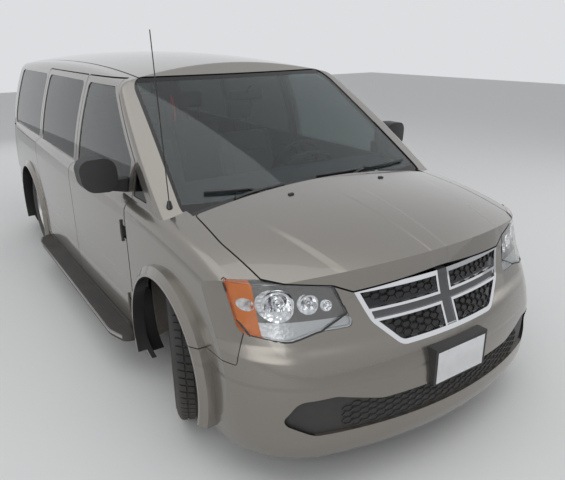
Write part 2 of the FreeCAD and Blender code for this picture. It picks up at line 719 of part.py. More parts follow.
# Bumpers and fenders come from the outer skin of the lower body.
BUMPER_SIDE = (
    (NOSE - 100, 100, 0), (FRONT_AXLE, 100, 0), (FRONT_AXLE, BUMPER_TOP - 6, 0),
    (BUMPER_SEAM, BUMPER_TOP + 6, 12), (BUMPER_SEAM, 790, 0), (NOSE - 100, 790, 0),
)
bumper_zone = prism(BUMPER_SIDE, "side", -FAR, FAR)
bumper_zone = bumper_zone.fuse(box(-600, 600, NOSE - 100, LAMP_Y - 60, 700, 960)).removeSplitter()
front_bumper = largest(skin.common(bumper_zone).cut([hood_hole, lamp_hole, grille_hole, intake_hole]))
PILLAR_FRONT = DOOR_FRONT - GAP - 45
COWL_HALF = 772 + GAP
COWL_TRAY = 42
cowl_hole = box(-COWL_HALF, COWL_HALF, HOOD_REAR - 1, DOOR_FRONT, 900, ROOF)
bumper_side_grown = prism(BUMPER_SIDE, "side", -FAR, FAR, FIT)
bumper_groove = prism(BUMPER_SIDE, "side", 300, FAR, 4).cut(under_seam)
fender = skin.common(box(300, FAR, NOSE - 100, DOOR_FRONT - GAP, 0, ROOF))
fender = largest(fender.cut([bumper_side_grown, bumper_groove, hood_hole, lamp_hole, cowl_hole, door_swing]))
hood = largest(skin.common(hood_region))

REAR_BUMPER_TOP = 633
REAR_BUMPER_Y = REAR_AXLE + LIP_R + 15
rear_bumper = largest(skin.common(box(-FAR, FAR, REAR_BUMPER_Y, TAIL + 100, 0, REAR_BUMPER_TOP)))

# Body sides: pillars, roof rails, sills and rear quarters, from the walls.
pillar_foot = cabin_outside.cut([cabin_inside, lower_outside])
pillar_foot = pillar_foot.common(box(0, FAR, NOSE, PILLAR_FRONT + 1, 950, ROOF))
ROOF_HALF = 640
ROOF_LOW = 1500
roof_zone = box(-ROOF_HALF, ROOF_HALF, NOSE, GATE_TOP_Y - HALF_GAP, ROOF_LOW, ROOF + 50)
slide_hole = side_prism(SLIDING_DOOR, GAP).common(box(400, FAR, SLIDE_FRONT - 1, TAIL, 0, ROOF))
DOOR_HEAD_X = 575
DOOR_HEAD_Y = -420
door_head = box(DOOR_HEAD_X, ROOF_HALF + 1, DOOR_HEAD_Y, SLIDE_REAR + GAP, ROOF_LOW - 1, DOOR_TOP + GAP + FIT)
roof_panel = largest(walls.common(roof_zone).cut([screen_hole, gate_swing]))
roof_panel = largest(roof_panel.cut([door_head, flipped(door_head)]))
DITCH = 10
ditch = box(ROOF_HALF, ROOF_HALF + DITCH, NOSE, TAIL, ROOF_LOW, ROOF + 50).cut(under_seam)
TAIL_LAMP = ((770, 770, 20), (1100, 790, 20), (1100, 1245, 20), (770, 1225, 40))
tail_lamp_zone = prism(TAIL_LAMP, "front", TAIL - 250, TAIL + 100)
tail_lamp = largest(left_walls.common(tail_lamp_zone).cut(gate_hole))
side = left_walls.cut(box(-1, FAR, NOSE - 100, PILLAR_FRONT, 0, ROOF + 50)).fuse(pillar_foot)
side = side.cut([
    screen_hole, gate_hole,
    skin.common(box(300, FAR, PILLAR_FRONT - 1, DOOR_FRONT - GAP + 1, 0, ROOF)),
    box(-FAR, FAR, REAR_BUMPER_Y - FIT, TAIL + 100, 0, REAR_BUMPER_TOP + FIT),
    box(-FAR, ROOF_HALF + FIT, NOSE, GATE_TOP_Y + 1, ROOF_LOW, ROOF + 50),
    ditch, gate_swing, side_prism(FRONT_DOOR, GAP), side_prism(TRIANGLE), door_swing, slide_hole,
    side_prism(QUARTER_WINDOW), side_prism(TRACK).cut(under_seam),
    prism(TAIL_LAMP, "front", TAIL - 250 - FIT, TAIL + 100, FIT),
])
side = largest(side)

# Windscreen, cowl cover and side glass. The cover and the windscreen lie in one surface.
GLASS_FOOT = HOOD_REAR + 55
screen_glass = glass_layer.common(prism(SCREEN, "front", NOSE, SCREEN_REAR, -FIT))
screen_glass = screen_glass.cut([lower_body(COWL_TRAY, COWL_TRAY), fender, flipped(fender)])
windshield = largest(screen_glass.common(box(-FAR, FAR, GLASS_FOOT, SCREEN_REAR, 0, ROOF)))
cowl = largest(screen_glass.common(box(-FAR, FAR, HOOD_REAR + GAP, GLASS_FOOT - FIT, 0, ROOF)))
side_glass = glass_layer.common(side_prism(TRIANGLE, -FIT).fuse(
    [side_prism(SLIDING_WINDOW, -FIT), side_prism(QUARTER_WINDOW, -FIT)]))

# Lamps: a clear cover 4 mm thick over a bucket 60 mm deep.
LENS_T = 4
BUCKET_T = 58
BUCKET_WALL = 5
lamp_zone = front_end_prism(LAMP)
lamp_block = lower_outside.common(lamp_zone).cut([lower_body(BUCKET_T, BUCKET_T), hood_hole, arch_cuts])
lens_back = lower_body(LENS_T, LENS_T)
headlamp_lens = largest(lamp_block.cut(lens_back))
BEZEL_SET = 14
bezel_room = front_end_prism(LAMP, -BUCKET_WALL).cut(lower_body(BEZEL_SET, BEZEL_SET))
# sideways, height, radius and depth of each lamp bowl
BOWLS = ((752, 850, 62, 36), (636, 848, 38, 30), (566, 836, 21, 20), (842, 850, 24, 20))


def bowl(x, z, radius, depth):
    """A lamp bowl let into the bezel, square to the surface in plan."""
    def front(u):
        return Part.makeLine(Vector(u, NOSE - 100, z), Vector(u, 0, z)).common(lower_outside).BoundBox.YMin
    slope = (front(x + 10) - front(x - 10)) / 20
    way = Vector(-slope, 1, 0).normalize()
    start = Vector(x, front(x), z) + way * (BEZEL_SET - 6)
    return Part.makeCone(radius, radius * 0.4, depth + 6, start, way)


headlamp_bucket = largest(lamp_block.common(lens_back).cut([bezel_room] + [bowl(*row) for row in BOWLS]))

# Grille: a bright surround with crossed bars, and a dark mesh set behind it.
GRILLE_T = 34
MESH_SET = 16
MESH_T = 8
RIM_W = 20
BAR_HALF = 26
POST_HALF = 40
BAR_EDGE = 11
CHANNEL = 8
BAR_LEVEL = 775
grille_block = lower_outside.common(prism(GRILLE, "front", NOSE - 100, LAMP_Y))
grille_block = largest(grille_block.cut([lower_body(GRILLE_T, GRILLE_T), hood_hole]))


def grille_bars(edge):
    """The upright and the level bar, narrower by the given edge on each side."""
    upright_bar = box(-POST_HALF + edge, POST_HALF - edge, NOSE - 100, LAMP_Y, 500, 1000)
    level_bar = box(-HALF, HALF, NOSE - 100, LAMP_Y, BAR_LEVEL - BAR_HALF + edge, BAR_LEVEL + BAR_HALF - edge)
    return upright_bar.fuse(level_bar)


grille_inner = prism(GRILLE, "front", NOSE - 100, LAMP_Y, -RIM_W)
channel = grille_bars(BAR_EDGE).common(grille_inner).cut(lower_body(CHANNEL, CHANNEL))
grille_frame = largest(grille_block.cut([grille_inner.cut(grille_bars(0)), channel]))
mesh_layer = lower_body(MESH_SET, MESH_SET).cut(lower_body(MESH_SET + MESH_T, MESH_SET + MESH_T))
grille_mesh = mesh_layer.common(prism(GRILLE, "front", NOSE - 100, LAMP_Y, -FIT)).cut([grille_frame, hood_hole])
intake_grille = largest(mesh_layer.common(prism(INTAKE, "front", NOSE - 100, LAMP_Y, -FIT)))
PLATE_W = 305
PLATE_H = 152
plate_y = NOSE + 4
plate_back = box(-PLATE_W / 2 - 12, PLATE_W / 2 + 12, plate_y - 22, plate_y + 60, 432, 432 + PLATE_H + 24)
PLATE_HOLES = 178
PLATE_HOLE_R = 3.5
plate_bolts = [rod(Vector(x, plate_y - 60, 432 + PLATE_H), Vector(x, plate_y + 100, 432 + PLATE_H), PLATE_HOLE_R)
    for x in (-PLATE_HOLES / 2, PLATE_HOLES / 2)]
plate_holder = largest(plate_back.cut([lower_outside] + plate_bolts))
front_bumper = largest(front_bumper.cut(plate_bolts))

# Wheels and tyres. Each is turned about the axle line and stands at its own corner.
TYRE_HALF = size("tyre_width") / 2
SPINDLE_R = size("spindle_radius")
HUB_FACE = size("wheel_offset")
HUB_T = size("hub_thickness")
REST_STEER = size("rest_steer")
STEER_HALF = size("steer_half_range")
KP_LOW = Vector(size("kingpin_low_x"), FRONT_AXLE, size("kingpin_low_z"))
KP_TOP = Vector(size("kingpin_top_x"), FRONT_AXLE, size("kingpin_top_z"))
KINGPIN = KP_LOW + (KP_TOP - KP_LOW) * ((TYRE_R - KP_LOW.z) / (KP_TOP.z - KP_LOW.z))
SPOKES = 5


def origin_part(body, role):
    """The body's own base plane or axis with the given role."""
    return next(item for item in body.Origin.OriginFeatures if item.Role == role)


def held_sketch(body, name, role, corners):
    """A closed outline on a base plane. Two expressions hold each corner."""
    sketch = doc.addObject("Sketcher::SketchObject", name)
    body.addObject(sketch)
    sketch.AttachmentSupport = [(origin_part(body, role), "")]
    sketch.MapMode = "FlatFace"
    spots = [Vector(*(float(sketch.evalExpression(text)) for text in corner), 0) for corner in corners]
    count = len(spots)
    for k in range(count):
        sketch.addGeometry(Part.LineSegment(spots[k], spots[(k + 1) % count]), False)
    for k in range(count):
        sketch.addConstraint(Sketcher.Constraint("Coincident", k, 2, (k + 1) % count, 1))
    for k, corner in enumerate(corners):
        for kind, text, value in (("DistanceX", corner[0], spots[k].x), ("DistanceY", corner[1], spots[k].y)):
            index = sketch.addConstraint(Sketcher.Constraint(kind, -1, 1, k, 1, value))
            sketch.setExpression(f"Constraints[{index}]", text)
    sketch.Visibility = False
    return sketch


def turned_body(name, section):
    """A body turned about the axle from a section: along the axle, out from it."""
    body = doc.addObject("PartDesign::Body", name)
    body.Label = name
    turn = doc.addObject("PartDesign::Revolution", f"{name}_turn")
    sketch = held_sketch(body, f"{name}_section", "XZ_Plane", section)
    body.addObject(turn)
    turn.Profile = sketch
    turn.ReferenceAxis = (sketch, ["H_Axis"])
    turn.Angle = 360
    return body


TYRE_SECTION = (
    ("-Sizes.tyre_width/2 + 12", "Sizes.rim_radius"), ("-Sizes.tyre_width/2 + 2", "Sizes.rim_radius + 30"),
    ("-Sizes.tyre_width/2", "Sizes.rim_radius + 62"), ("-Sizes.tyre_width/2 + 8", "Sizes.tyre_radius - 34"),
    ("-Sizes.tyre_width/2 + 22", "Sizes.tyre_radius - 7"), ("-Sizes.tyre_width/2 + 45", "Sizes.tyre_radius"),
    ("Sizes.tyre_width/2 - 45", "Sizes.tyre_radius"), ("Sizes.tyre_width/2 - 22", "Sizes.tyre_radius - 7"),
    ("Sizes.tyre_width/2 - 8", "Sizes.tyre_radius - 34"), ("Sizes.tyre_width/2", "Sizes.rim_radius + 62"),
    ("Sizes.tyre_width/2 - 2", "Sizes.rim_radius + 30"), ("Sizes.tyre_width/2 - 12", "Sizes.rim_radius"),
)
WHEEL_SECTION = (
    ("-Sizes.tyre_width/2 + 14", "Sizes.rim_radius - Sizes.fit_gap"),
    ("Sizes.tyre_width/2 - 14", "Sizes.rim_radius - Sizes.fit_gap"),
    ("Sizes.tyre_width/2 - 14", "Sizes.rim_radius - 12"),
    ("Sizes.wheel_offset + Sizes.hub_thickness + 8", "Sizes.rim_radius - 20"),
    ("Sizes.wheel_offset + Sizes.hub_thickness + 12", "70"),
    ("Sizes.wheel_offset + Sizes.hub_thickness", "Sizes.spindle_radius + Sizes.fit_gap"),
    ("Sizes.wheel_offset", "Sizes.spindle_radius + Sizes.fit_gap"),
    ("Sizes.wheel_offset", "80"),
    ("Sizes.wheel_offset - 6", "Sizes.rim_radius - 26"),
    ("-Sizes.tyre_width/2 + 14", "Sizes.rim_radius - 12"),
)
WHEEL_WINDOW = (("-20", "90"), ("20", "90"), ("62", "174"), ("48", "186"), ("-48", "186"), ("-62", "174"))


def make_tyre(name):
    return turned_body(name, TYRE_SECTION)


def make_wheel(name):
    """A wheel with five windows between its spokes."""
    body = turned_body(name, WHEEL_SECTION)
    window = held_sketch(body, f"{name}_window", "YZ_Plane", WHEEL_WINDOW)
    window.setExpression("AttachmentOffset.Base.z", "Sizes.wheel_offset - 10")
    cut = doc.addObject("PartDesign::Pocket", f"{name}_cut")
    body.addObject(cut)
    cut.Profile = window
    cut.Type = "ThroughAll"
    cut.Reversed = True
    spokes = doc.addObject("PartDesign::PolarPattern", f"{name}_spokes")
    spokes.Originals = [cut]
    body.addObject(spokes)
    spokes.Axis = (origin_part(body, "X_Axis"), [""])
    spokes.Angle = 360
    spokes.Occurrences = SPOKES
    body.Tip = spokes
    return body


def stand(body, side, y, steer):
    """Carry a wheel or tyre to its corner; a right-hand one is turned round first."""
    spot = Placement(Vector(side * TRACK_HALF, y, TYRE_R), Rotation(Vector(0, 0, 1), 0 if side > 0 else 180))
    if steer:
        turn = Rotation(Vector(0, 0, 1), -REST_STEER)
        spot = Placement(Vector(0, 0, 0), turn, Vector(side * KINGPIN.x, KINGPIN.y, 0)).multiply(spot)
    body.Placement = spot


for y, axle in ((FRONT_AXLE, "front"), (REAR_AXLE, "rear")):
    for side_sign, hand in ((1, "left"), (-1, "right")):
        stand(make_tyre(f"tyre_{axle}_{hand}"), side_sign, y, axle == "front")
        stand(make_wheel(f"wheel_{axle}_{hand}"), side_sign, y, axle == "front")

# Knuckles: stub axle, upright, brake disc and strut, turning about the kingpin.
DISC_R = 150
SPINDLE_END = HUB_FACE + HUB_T + 14
STRUT_R = 34
SPRING_R = 62
BALL_R = 22
spindle = Part.makeCylinder(SPINDLE_R, SPINDLE_END + 60, Vector(-60, 0, 0), Vector(1, 0, 0))
flange = Part.makeCylinder(70, 14, Vector(HUB_FACE - 14 - FIT, 0, 0), Vector(1, 0, 0))
disc = Part.makeCylinder(DISC_R, 22, Vector(HUB_FACE - 46, 0, 0), Vector(1, 0, 0))
stub = spindle.fuse([flange, disc])
stub.translate(Vector(TRACK_HALF, FRONT_AXLE, TYRE_R))


def along_kingpin(share):
    return KP_LOW + (KP_TOP - KP_LOW) * share


kp_way = (KP_TOP - KP_LOW).normalize()
ball_top = KP_LOW + kp_way * 12
upright = rod(ball_top, along_kingpin(0.52), BALL_R)
strut = rod(along_kingpin(0.5), KP_TOP - kp_way * FIT, STRUT_R - 6)
spring = rod(along_kingpin(0.75), along_kingpin(0.985), SPRING_R)
hub_block = box(KINGPIN.x - 30, TRACK_HALF - 50, FRONT_AXLE - 45, FRONT_AXLE + 45, TYRE_R - 60, TYRE_R + 60)
column_parts = upright.fuse([strut, spring])
for side_sign, hand in ((1, "left"), (-1, "right")):
    swung = stub.fuse(hub_block)
    still = column_parts
    if side_sign < 0:
        swung = flipped(swung)
        still = flipped(still)
    swung.rotate(Vector(side_sign * KINGPIN.x, KINGPIN.y, 0), Vector(0, 0, 1), -REST_STEER)
    add(f"knuckle_{hand}", largest(still.fuse(swung)))

# Underbody: subframe with control arms, rear axle, tank and exhaust.
RAIL_X = 420
SUBFRAME_Z = 200
SUBFRAME_T = 60
FLOOR_T = size("floor_thickness")
FLOOR_LOW = FLOOR - FLOOR_T
arm_root = 330
arm_z = KP_LOW.z - 28
arm_front = prism(((arm_root, FRONT_AXLE - 90, 0), (KP_LOW.x - 18, FRONT_AXLE - 26, 10),
    (KP_LOW.x + 24, FRONT_AXLE - 24, 18), (KP_LOW.x + 24, FRONT_AXLE + 24, 18), (KP_LOW.x - 18, FRONT_AXLE + 26, 10),
    (arm_root, FRONT_AXLE + 190, 0)), "plan", arm_z, arm_z + 26)
rail = box(RAIL_X - 60, RAIL_X, NOSE + 330, -1180, SUBFRAME_Z, SUBFRAME_Z + SUBFRAME_T)
cross_front = box(-RAIL_X, RAIL_X, NOSE + 330, NOSE + 400, SUBFRAME_Z, SUBFRAME_Z + SUBFRAME_T)
cross_mid = box(-RAIL_X, RAIL_X, FRONT_AXLE + 60, FRONT_AXLE + 220, arm_z + 2, SUBFRAME_Z + SUBFRAME_T)
ball_joint = rod(KP_LOW - kp_way * 30, KP_LOW + kp_way * (12 - FIT), 14)
arms = arm_front.fuse(ball_joint)
subframe = cross_front.fuse([cross_mid, rail, flipped(rail), arms, flipped(arms)])
mount_post = box(RAIL_X - 60, RAIL_X, -1240, -1180, SUBFRAME_Z, FLOOR_LOW)
subframe = subframe.fuse([mount_post, flipped(mount_post)])
add("front_subframe", largest(subframe))

FIREWALL = PILLAR_FRONT - 190
WALL_T = 40
SHELF_Z = 1000
SHELF_T = 12
KICK_Y = SLIDE_REAR + 10
CARGO = size("cargo_floor_height")
CARGO_END = TAIL - 130
floor_profile = (
    (FIREWALL, FLOOR_LOW, 0), (KICK_Y + WALL_T, FLOOR_LOW, 0), (KICK_Y + WALL_T, CARGO - FLOOR_T, 0),
    (CARGO_END, CARGO - FLOOR_T, 0), (CARGO_END, CARGO, 0), (KICK_Y, CARGO, 0), (KICK_Y, FLOOR, 0),
    (FIREWALL + WALL_T, FLOOR, 0), (FIREWALL + WALL_T, SHELF_Z, 0), (HOOD_REAR - 60, SHELF_Z, 0),
    (HOOD_REAR - 60, SHELF_Z - SHELF_T, 0), (FIREWALL, SHELF_Z - SHELF_T, 0),
)
floor = prism(floor_profile, "side", -FAR, FAR).common(lower_body(DOOR_T, COWL_TRAY + SHELF_T))
HOUSE_T = 12
REAR_HOUSE_X = 600
house_out = across(REAR_AXLE, ARCH_Z, ARCH_R + HOUSE_T, REAR_HOUSE_X - HOUSE_T, FAR).common(
    box(0, FAR, 0, FAR, FLOOR_LOW, ROOF))
house_in = across(REAR_AXLE, ARCH_Z, ARCH_R, REAR_HOUSE_X, FAR)
wheel_room = box(REAR_HOUSE_X - HOUSE_T - 1, FAR, REAR_AXLE - 200, REAR_AXLE + 60, 0, TYRE_R + 60)
house = house_out.cut([house_in, wheel_room])

# The front wheels sweep round their kingpins, so the footwell has a round bulge on each side.
TURN_GAP = 10
TURN_R = math.hypot(TYRE_R, TRACK_HALF - KINGPIN.x + TYRE_HALF) + TURN_GAP
TURN_X = KINGPIN.x - TYRE_R * math.sin(math.radians(STEER_HALF)) - 2 * TURN_GAP
TURN_TOP = 2 * TYRE_R + TURN_GAP


def turn_room(grow):
    """The room of a turning front wheel, grown on every side."""
    room = Part.makeCylinder(TURN_R + grow, TURN_TOP + grow, Vector(KINGPIN.x, FRONT_AXLE, 0))
    return room.common(box(TURN_X - grow, FAR, NOSE, 0, 0, ROOF))


turn_in = turn_room(0)
bulge = turn_room(HOUSE_T).cut(turn_in).common(box(0, FAR, FIREWALL, 0, FLOOR_LOW, ROOF))
liner = house.fuse(bulge).common(lower_inside)
floor = floor.cut([house_in, flipped(house_in), turn_in, flipped(turn_in)])
floor = largest(floor.fuse([liner, flipped(liner)]))
add("floor_pan", floor)

BEAM_Y = REAR_AXLE - 130
beam = across(BEAM_Y, 330, 38, -RAIL_X - 150, RAIL_X + 150)
trail = rod(Vector(520, BEAM_Y, 330), Vector(520, KICK_Y + 150, 360), 30)
hanger = box(480, 560, KICK_Y + 100, KICK_Y + 190, 360, CARGO - FLOOR_T)
rear_spindle = spindle.fuse([flange, disc])
rear_spindle.translate(Vector(TRACK_HALF, REAR_AXLE, TYRE_R))
link = rod(Vector(560, BEAM_Y, 330), Vector(TRACK_HALF - 30, REAR_AXLE, TYRE_R), 34)
damper = rod(Vector(540, REAR_AXLE + 20, 345), Vector(500, REAR_AXLE + 60, CARGO - FLOOR_T - FIT), 24)
damper_foot = rod(Vector(540, REAR_AXLE + 20, 345), Vector(640, REAR_AXLE, TYRE_R), 22)
rear_half = rear_spindle.fuse([trail, link, hanger, damper, damper_foot])
add("rear_axle", largest(beam.fuse([rear_half, flipped(rear_half)])))
bound_box("fuel_tank", ("-560", "-150", "Sizes.floor_height - Sizes.floor_thickness - Sizes.tank_depth"),
    ("740", "670", "Sizes.tank_depth"))
PIPE_R = 28
pipe_points = (Vector(300, -1120, 222), Vector(300, 1120, 222), Vector(300, 1320, 420), Vector(300, 1620, 420),
    Vector(520, 2020, 300), Vector(520, 2420, 255))
exhaust = rod(pipe_points[0], pipe_points[1], PIPE_R)
for start, end in zip(pipe_points[1:-1], pipe_points[2:]):
    exhaust = exhaust.fuse([rod(start, end, PIPE_R), Part.makeSphere(PIPE_R, start)])
muffler = rod(Vector(300, 1340, 420), Vector(300, 1600, 420), 34)
silencer = box(260, 560, 2010, 2200, 300, 430)
hangers = [box(290, 310, y, y + 20, 225, FLOOR_LOW) for y in (-900, 0, 900)]
hangers.append(box(400, 420, 2090, 2110, 420, CARGO - FLOOR_T))
add("exhaust", largest(exhaust.fuse([muffler, silencer] + hangers)))
bound_box("engine_block", ("-Sizes.engine_width/2", "-Sizes.overall_length/2 + 490", "260"),
    ("Sizes.engine_width", "Sizes.engine_length", "Sizes.engine_height"))
APRON_T = 14
APRON_X = 440
apron = box(APRON_X, APRON_X + APRON_T, NOSE + 260, PILLAR_FRONT - 190, SUBFRAME_Z, 905)
tower = rod(KP_TOP, KP_TOP + kp_way * 18, 105).fuse(box(
    APRON_X, 520, FRONT_AXLE - 80, FRONT_AXLE + 80, KP_TOP.z - 25, KP_TOP.z - 5))
cross_bar = box(-APRON_X - APRON_T, APRON_X + APRON_T, NOSE + 260, NOSE + 300, 780, 830)
low_bar = box(-APRON_X - APRON_T, APRON_X + APRON_T, NOSE + 260, NOSE + 300, 300, 350)
apron_half = apron.fuse(tower).common(lower_body(SKIN_T, SKIN_T))
nose_bars = cross_bar.fuse(low_bar).common(lower_body(SKIN_T, SKIN_T))
aprons = largest(nose_bars.fuse([apron_half, flipped(apron_half)]))
add("front_aprons", aprons)
bound_box("radiator", ("-Sizes.radiator_width/2", "-Sizes.overall_length/2 + 300", "340"),
    ("Sizes.radiator_width", "Sizes.radiator_depth", "Sizes.radiator_height"))

# Cabin: dashboard with its column, steering wheel and three rows of seats.
DASH_FRONT = PILLAR_FRONT - 150
DASH_HALF = 835
DECK_Z = 1040
DECK_FRONT = HOOD_REAR + 40
dash_profile = (
    (DECK_FRONT, DECK_Z + 30, 0), (DASH_FRONT + 200, 1085, 60), (-890, 1040, 60), (-860, 960, 40), (-905, 800, 60),
    (-1030, 690, 60), (DASH_FRONT, 680, 20), (DASH_FRONT, DECK_Z, 0), (DECK_FRONT, DECK_Z, 0),
)
dash = prism(dash_profile, "side", -DASH_HALF, DASH_HALF)
console = box(-110, 110, -1150, -820, FLOOR, 800)
WHEEL_C = Vector(390, -770, 1010)
COLUMN_TILT = 25
column_way = Vector(0, math.cos(math.radians(COLUMN_TILT)), math.sin(math.radians(COLUMN_TILT)))
column = rod(WHEEL_C - column_way * 260, WHEEL_C - column_way * 60, 38)
dash_end = box(COWL_HALF - FIT, FAR, NOSE, DOOR_FRONT - GAP + FIT, 0, ROOF)
wheel_bulge = turn_room(HOUSE_T)
dash = dash.common(cabin_inside).cut([windshield, cowl, wheel_bulge, flipped(wheel_bulge), dash_end, flipped(dash_end)])
dash = largest(dash.fuse([console, column]))
add("dashboard", dash)
WHEEL_R = 182
GRIP_R = 14
ring = Part.makeTorus(WHEEL_R, GRIP_R)
hub = Part.makeCylinder(62, 46, Vector(0, 0, -40))
stem = Part.makeCylinder(16, 22, Vector(0, 0, -60 + FIT))
spoke_bars = [box(20, WHEEL_R, -16, 16, -14, 2), box(-WHEEL_R, -20, -16, 16, -14, 2), box(-14, 14, -WHEEL_R, -20, -14, 2)]
steering_wheel = ring.fuse([hub, stem] + spoke_bars)
steering_wheel.rotate(Vector(0, 0, 0), Vector(1, 0, 0), COLUMN_TILT - 90)
steering_wheel.translate(WHEEL_C)
add("steering_wheel", largest(steering_wheel))


def seat(x, y, floor_z, width, cushion_z, rests):
    """One seat: base, cushion, leaning back and head rests at the given places across it."""
    half = width / 2
    side = ((-230, -70, 50), (270, -100, 40), (260, 20, 50), (-250, 45, 60))
    cushion = prism([(y + v, cushion_z + w, r) for v, w, r in side], "side", x - half, x + half)
    back_side = ((235, -60, 40), (355, -60, 50), (520, 560, 36), (430, 590, 32), (245, 60, 80))
    back = prism([(y + v, cushion_z + w, r) for v, w, r in back_side], "side", x - half + 8, x + half - 8)
    base = box(x - half + 60, x + half - 60, y - 170, y + 240, floor_z, cushion_z - 60)
    made = cushion.fuse([back, base])
    for spot in rests:
        head = prism([(y + v, cushion_z + w, r) for v, w, r in (
            (455, 630, 30), (530, 640, 40), (560, 790, 40), (485, 800, 30))], "side", x + spot - 125, x + spot + 125)
        posts = [rod(Vector(x + spot + p, y + 470, cushion_z + 500), Vector(x + spot + p, y + 510, cushion_z + 680), 7)
            for p in (-60, 60)]
        made = made.fuse([head] + posts)
    return largest(made)


front_seat = seat(400, -480, FLOOR, 520, 600, (0,))
middle_seat = seat(400, 420, FLOOR, 500, 600, (0,))
add("front_seats", pair(front_seat))
add("middle_seats", pair(middle_seat))
add("rear_bench", seat(0, 1390, CARGO, 1080, 760, (-330, 0, 330)))

# Outside fittings: running boards, mirrors, wipers, antenna and hinges.
BOARD_TOP = size("board_height")
BOARD_W = size("board_width")
BOARD_T = size("board_thickness")
BOARD_FRONT = FRONT_AXLE + LIP_R + 30
BOARD_REAR = REAR_AXLE - LIP_R - 30
BOARD_OUT = HALF - 70 + BOARD_W
board = prism(((HALF - 110, BOARD_FRONT, 10), (BOARD_OUT - 45, BOARD_FRONT, 60), (BOARD_OUT, BOARD_FRONT + 150, 200),
    (BOARD_OUT, BOARD_REAR - 150, 200), (BOARD_OUT - 45, BOARD_REAR, 60), (HALF - 110, BOARD_REAR, 10)),
    "plan", BOARD_TOP - BOARD_T, BOARD_TOP)
board = board.cut(lower_outside)
brackets = [box(HALF - 180, HALF - 20, y, y + 60, ROCKER - 30, BOARD_TOP - BOARD_T) for y in (-900, -50, 800)]
board = largest(board.fuse(brackets).cut(lower_outside))
add("running_boards", pair(board))
MIRROR_W = size("mirror_width")
MIRROR_H = size("mirror_height")
MIRROR_D = size("mirror_depth")
MIRROR_X = HALF - 50
MIRROR_Y = DOOR_FRONT + 62
MIRROR_Z = BELT + 12
mirror_face = prism(((MIRROR_X, MIRROR_Z, 60), (MIRROR_X + MIRROR_W - 20, MIRROR_Z + 10, 70),
    (MIRROR_X + MIRROR_W, MIRROR_Z + MIRROR_H - 8, 60), (MIRROR_X + 14, MIRROR_Z + MIRROR_H, 70)),
    "front", MIRROR_Y, MIRROR_Y + MIRROR_D)
mirror_bow = Part.makeCylinder(420, 500, Vector(MIRROR_X + MIRROR_W / 2 - 30, MIRROR_Y + 420, MIRROR_Z - 100))
mirror_head = mirror_face.common(mirror_bow)
mirror_arm = prism(((HALF - 110, MIRROR_Z - 22, 0), (MIRROR_X + 60, MIRROR_Z + 6, 20), (MIRROR_X + 60, MIRROR_Z + 52, 20),
    (HALF - 130, MIRROR_Z + 60, 0)), "front", MIRROR_Y + 22, MIRROR_Y + 88)
mirror = mirror_head.fuse(mirror_arm).cut([front_door, front_glass])
mirror = largest(mirror.cut(box(-FAR, HALF - 105, -FAR, FAR, 0, ROOF)))
for side_sign, hand in ((1, "left"), (-1, "right")):
    add(f"door_mirror_{hand}", mirror if side_sign > 0 else flipped(mirror))
    add(f"front_door_{hand}", front_door if side_sign > 0 else flipped(front_door))
    add(f"front_door_glass_{hand}", front_glass if side_sign > 0 else flipped(front_glass))
WHIP_X = -(HALF - 150)
WHIP_Y = HOOD_REAR + 120
whip_z = max(top_height(shape, -WHIP_X, WHIP_Y) for shape in (fender, pillar_foot))
ANT = size("antenna_length")
antenna = Part.makeCone(17, 9, 34, Vector(WHIP_X, WHIP_Y, whip_z - 6)).fuse(
    rod(Vector(WHIP_X, WHIP_Y, whip_z + 20), Vector(WHIP_X, WHIP_Y + 60, whip_z + ANT), 2.5))
add("antenna", largest(antenna.cut([flipped(fender), flipped(pillar_foot)])))

HOOD_PIN_Y = HOOD_REAR + size("hood_pin_setback")
HOOD_PIN_Z = size("hood_pin_height")
HOOD_PIN_X = 400
HOOD_PIN_R = 6
LUG_HALF = 12
EYE_R = 11
lug = box(HOOD_PIN_X - LUG_HALF, HOOD_PIN_X + LUG_HALF, HOOD_REAR - 40, HOOD_PIN_Y, HOOD_PIN_Z - EYE_R, HOOD_PIN_Z + 8)
lug = lug.common(lower_body(2, 2)).fuse(across(HOOD_PIN_Y, HOOD_PIN_Z, EYE_R, HOOD_PIN_X - LUG_HALF, HOOD_PIN_X + LUG_HALF))
lug = lug.cut(across(HOOD_PIN_Y, HOOD_PIN_Z, HOOD_PIN_R + FIT, 0, FAR))
hood = largest(hood.fuse([lug, flipped(lug)]))
hood_pin = across(HOOD_PIN_Y, HOOD_PIN_Z, HOOD_PIN_R, HOOD_PIN_X - 24, HOOD_PIN_X + 24)
cheeks = [box(x, x + 8, HOOD_PIN_Y - 9, HOOD_PIN_Y + 9, SHELF_Z + FIT, HOOD_PIN_Z + 9)
    for x in (HOOD_PIN_X - 24, HOOD_PIN_X + 16)]
hood_hinge = hood_pin.fuse(cheeks)
lug_room = box(HOOD_PIN_X - 16, HOOD_PIN_X + 16, HOOD_REAR - 1, HOOD_PIN_Y + EYE_R + 5, 900, ROOF)
cowl = cowl.cut([lug_room, flipped(lug_room)])
cowl = largest(cowl.fuse([hood_hinge, flipped(hood_hinge)]))
add("cowl_panel", cowl)
add("hood", hood)


add("windshield", windshield)

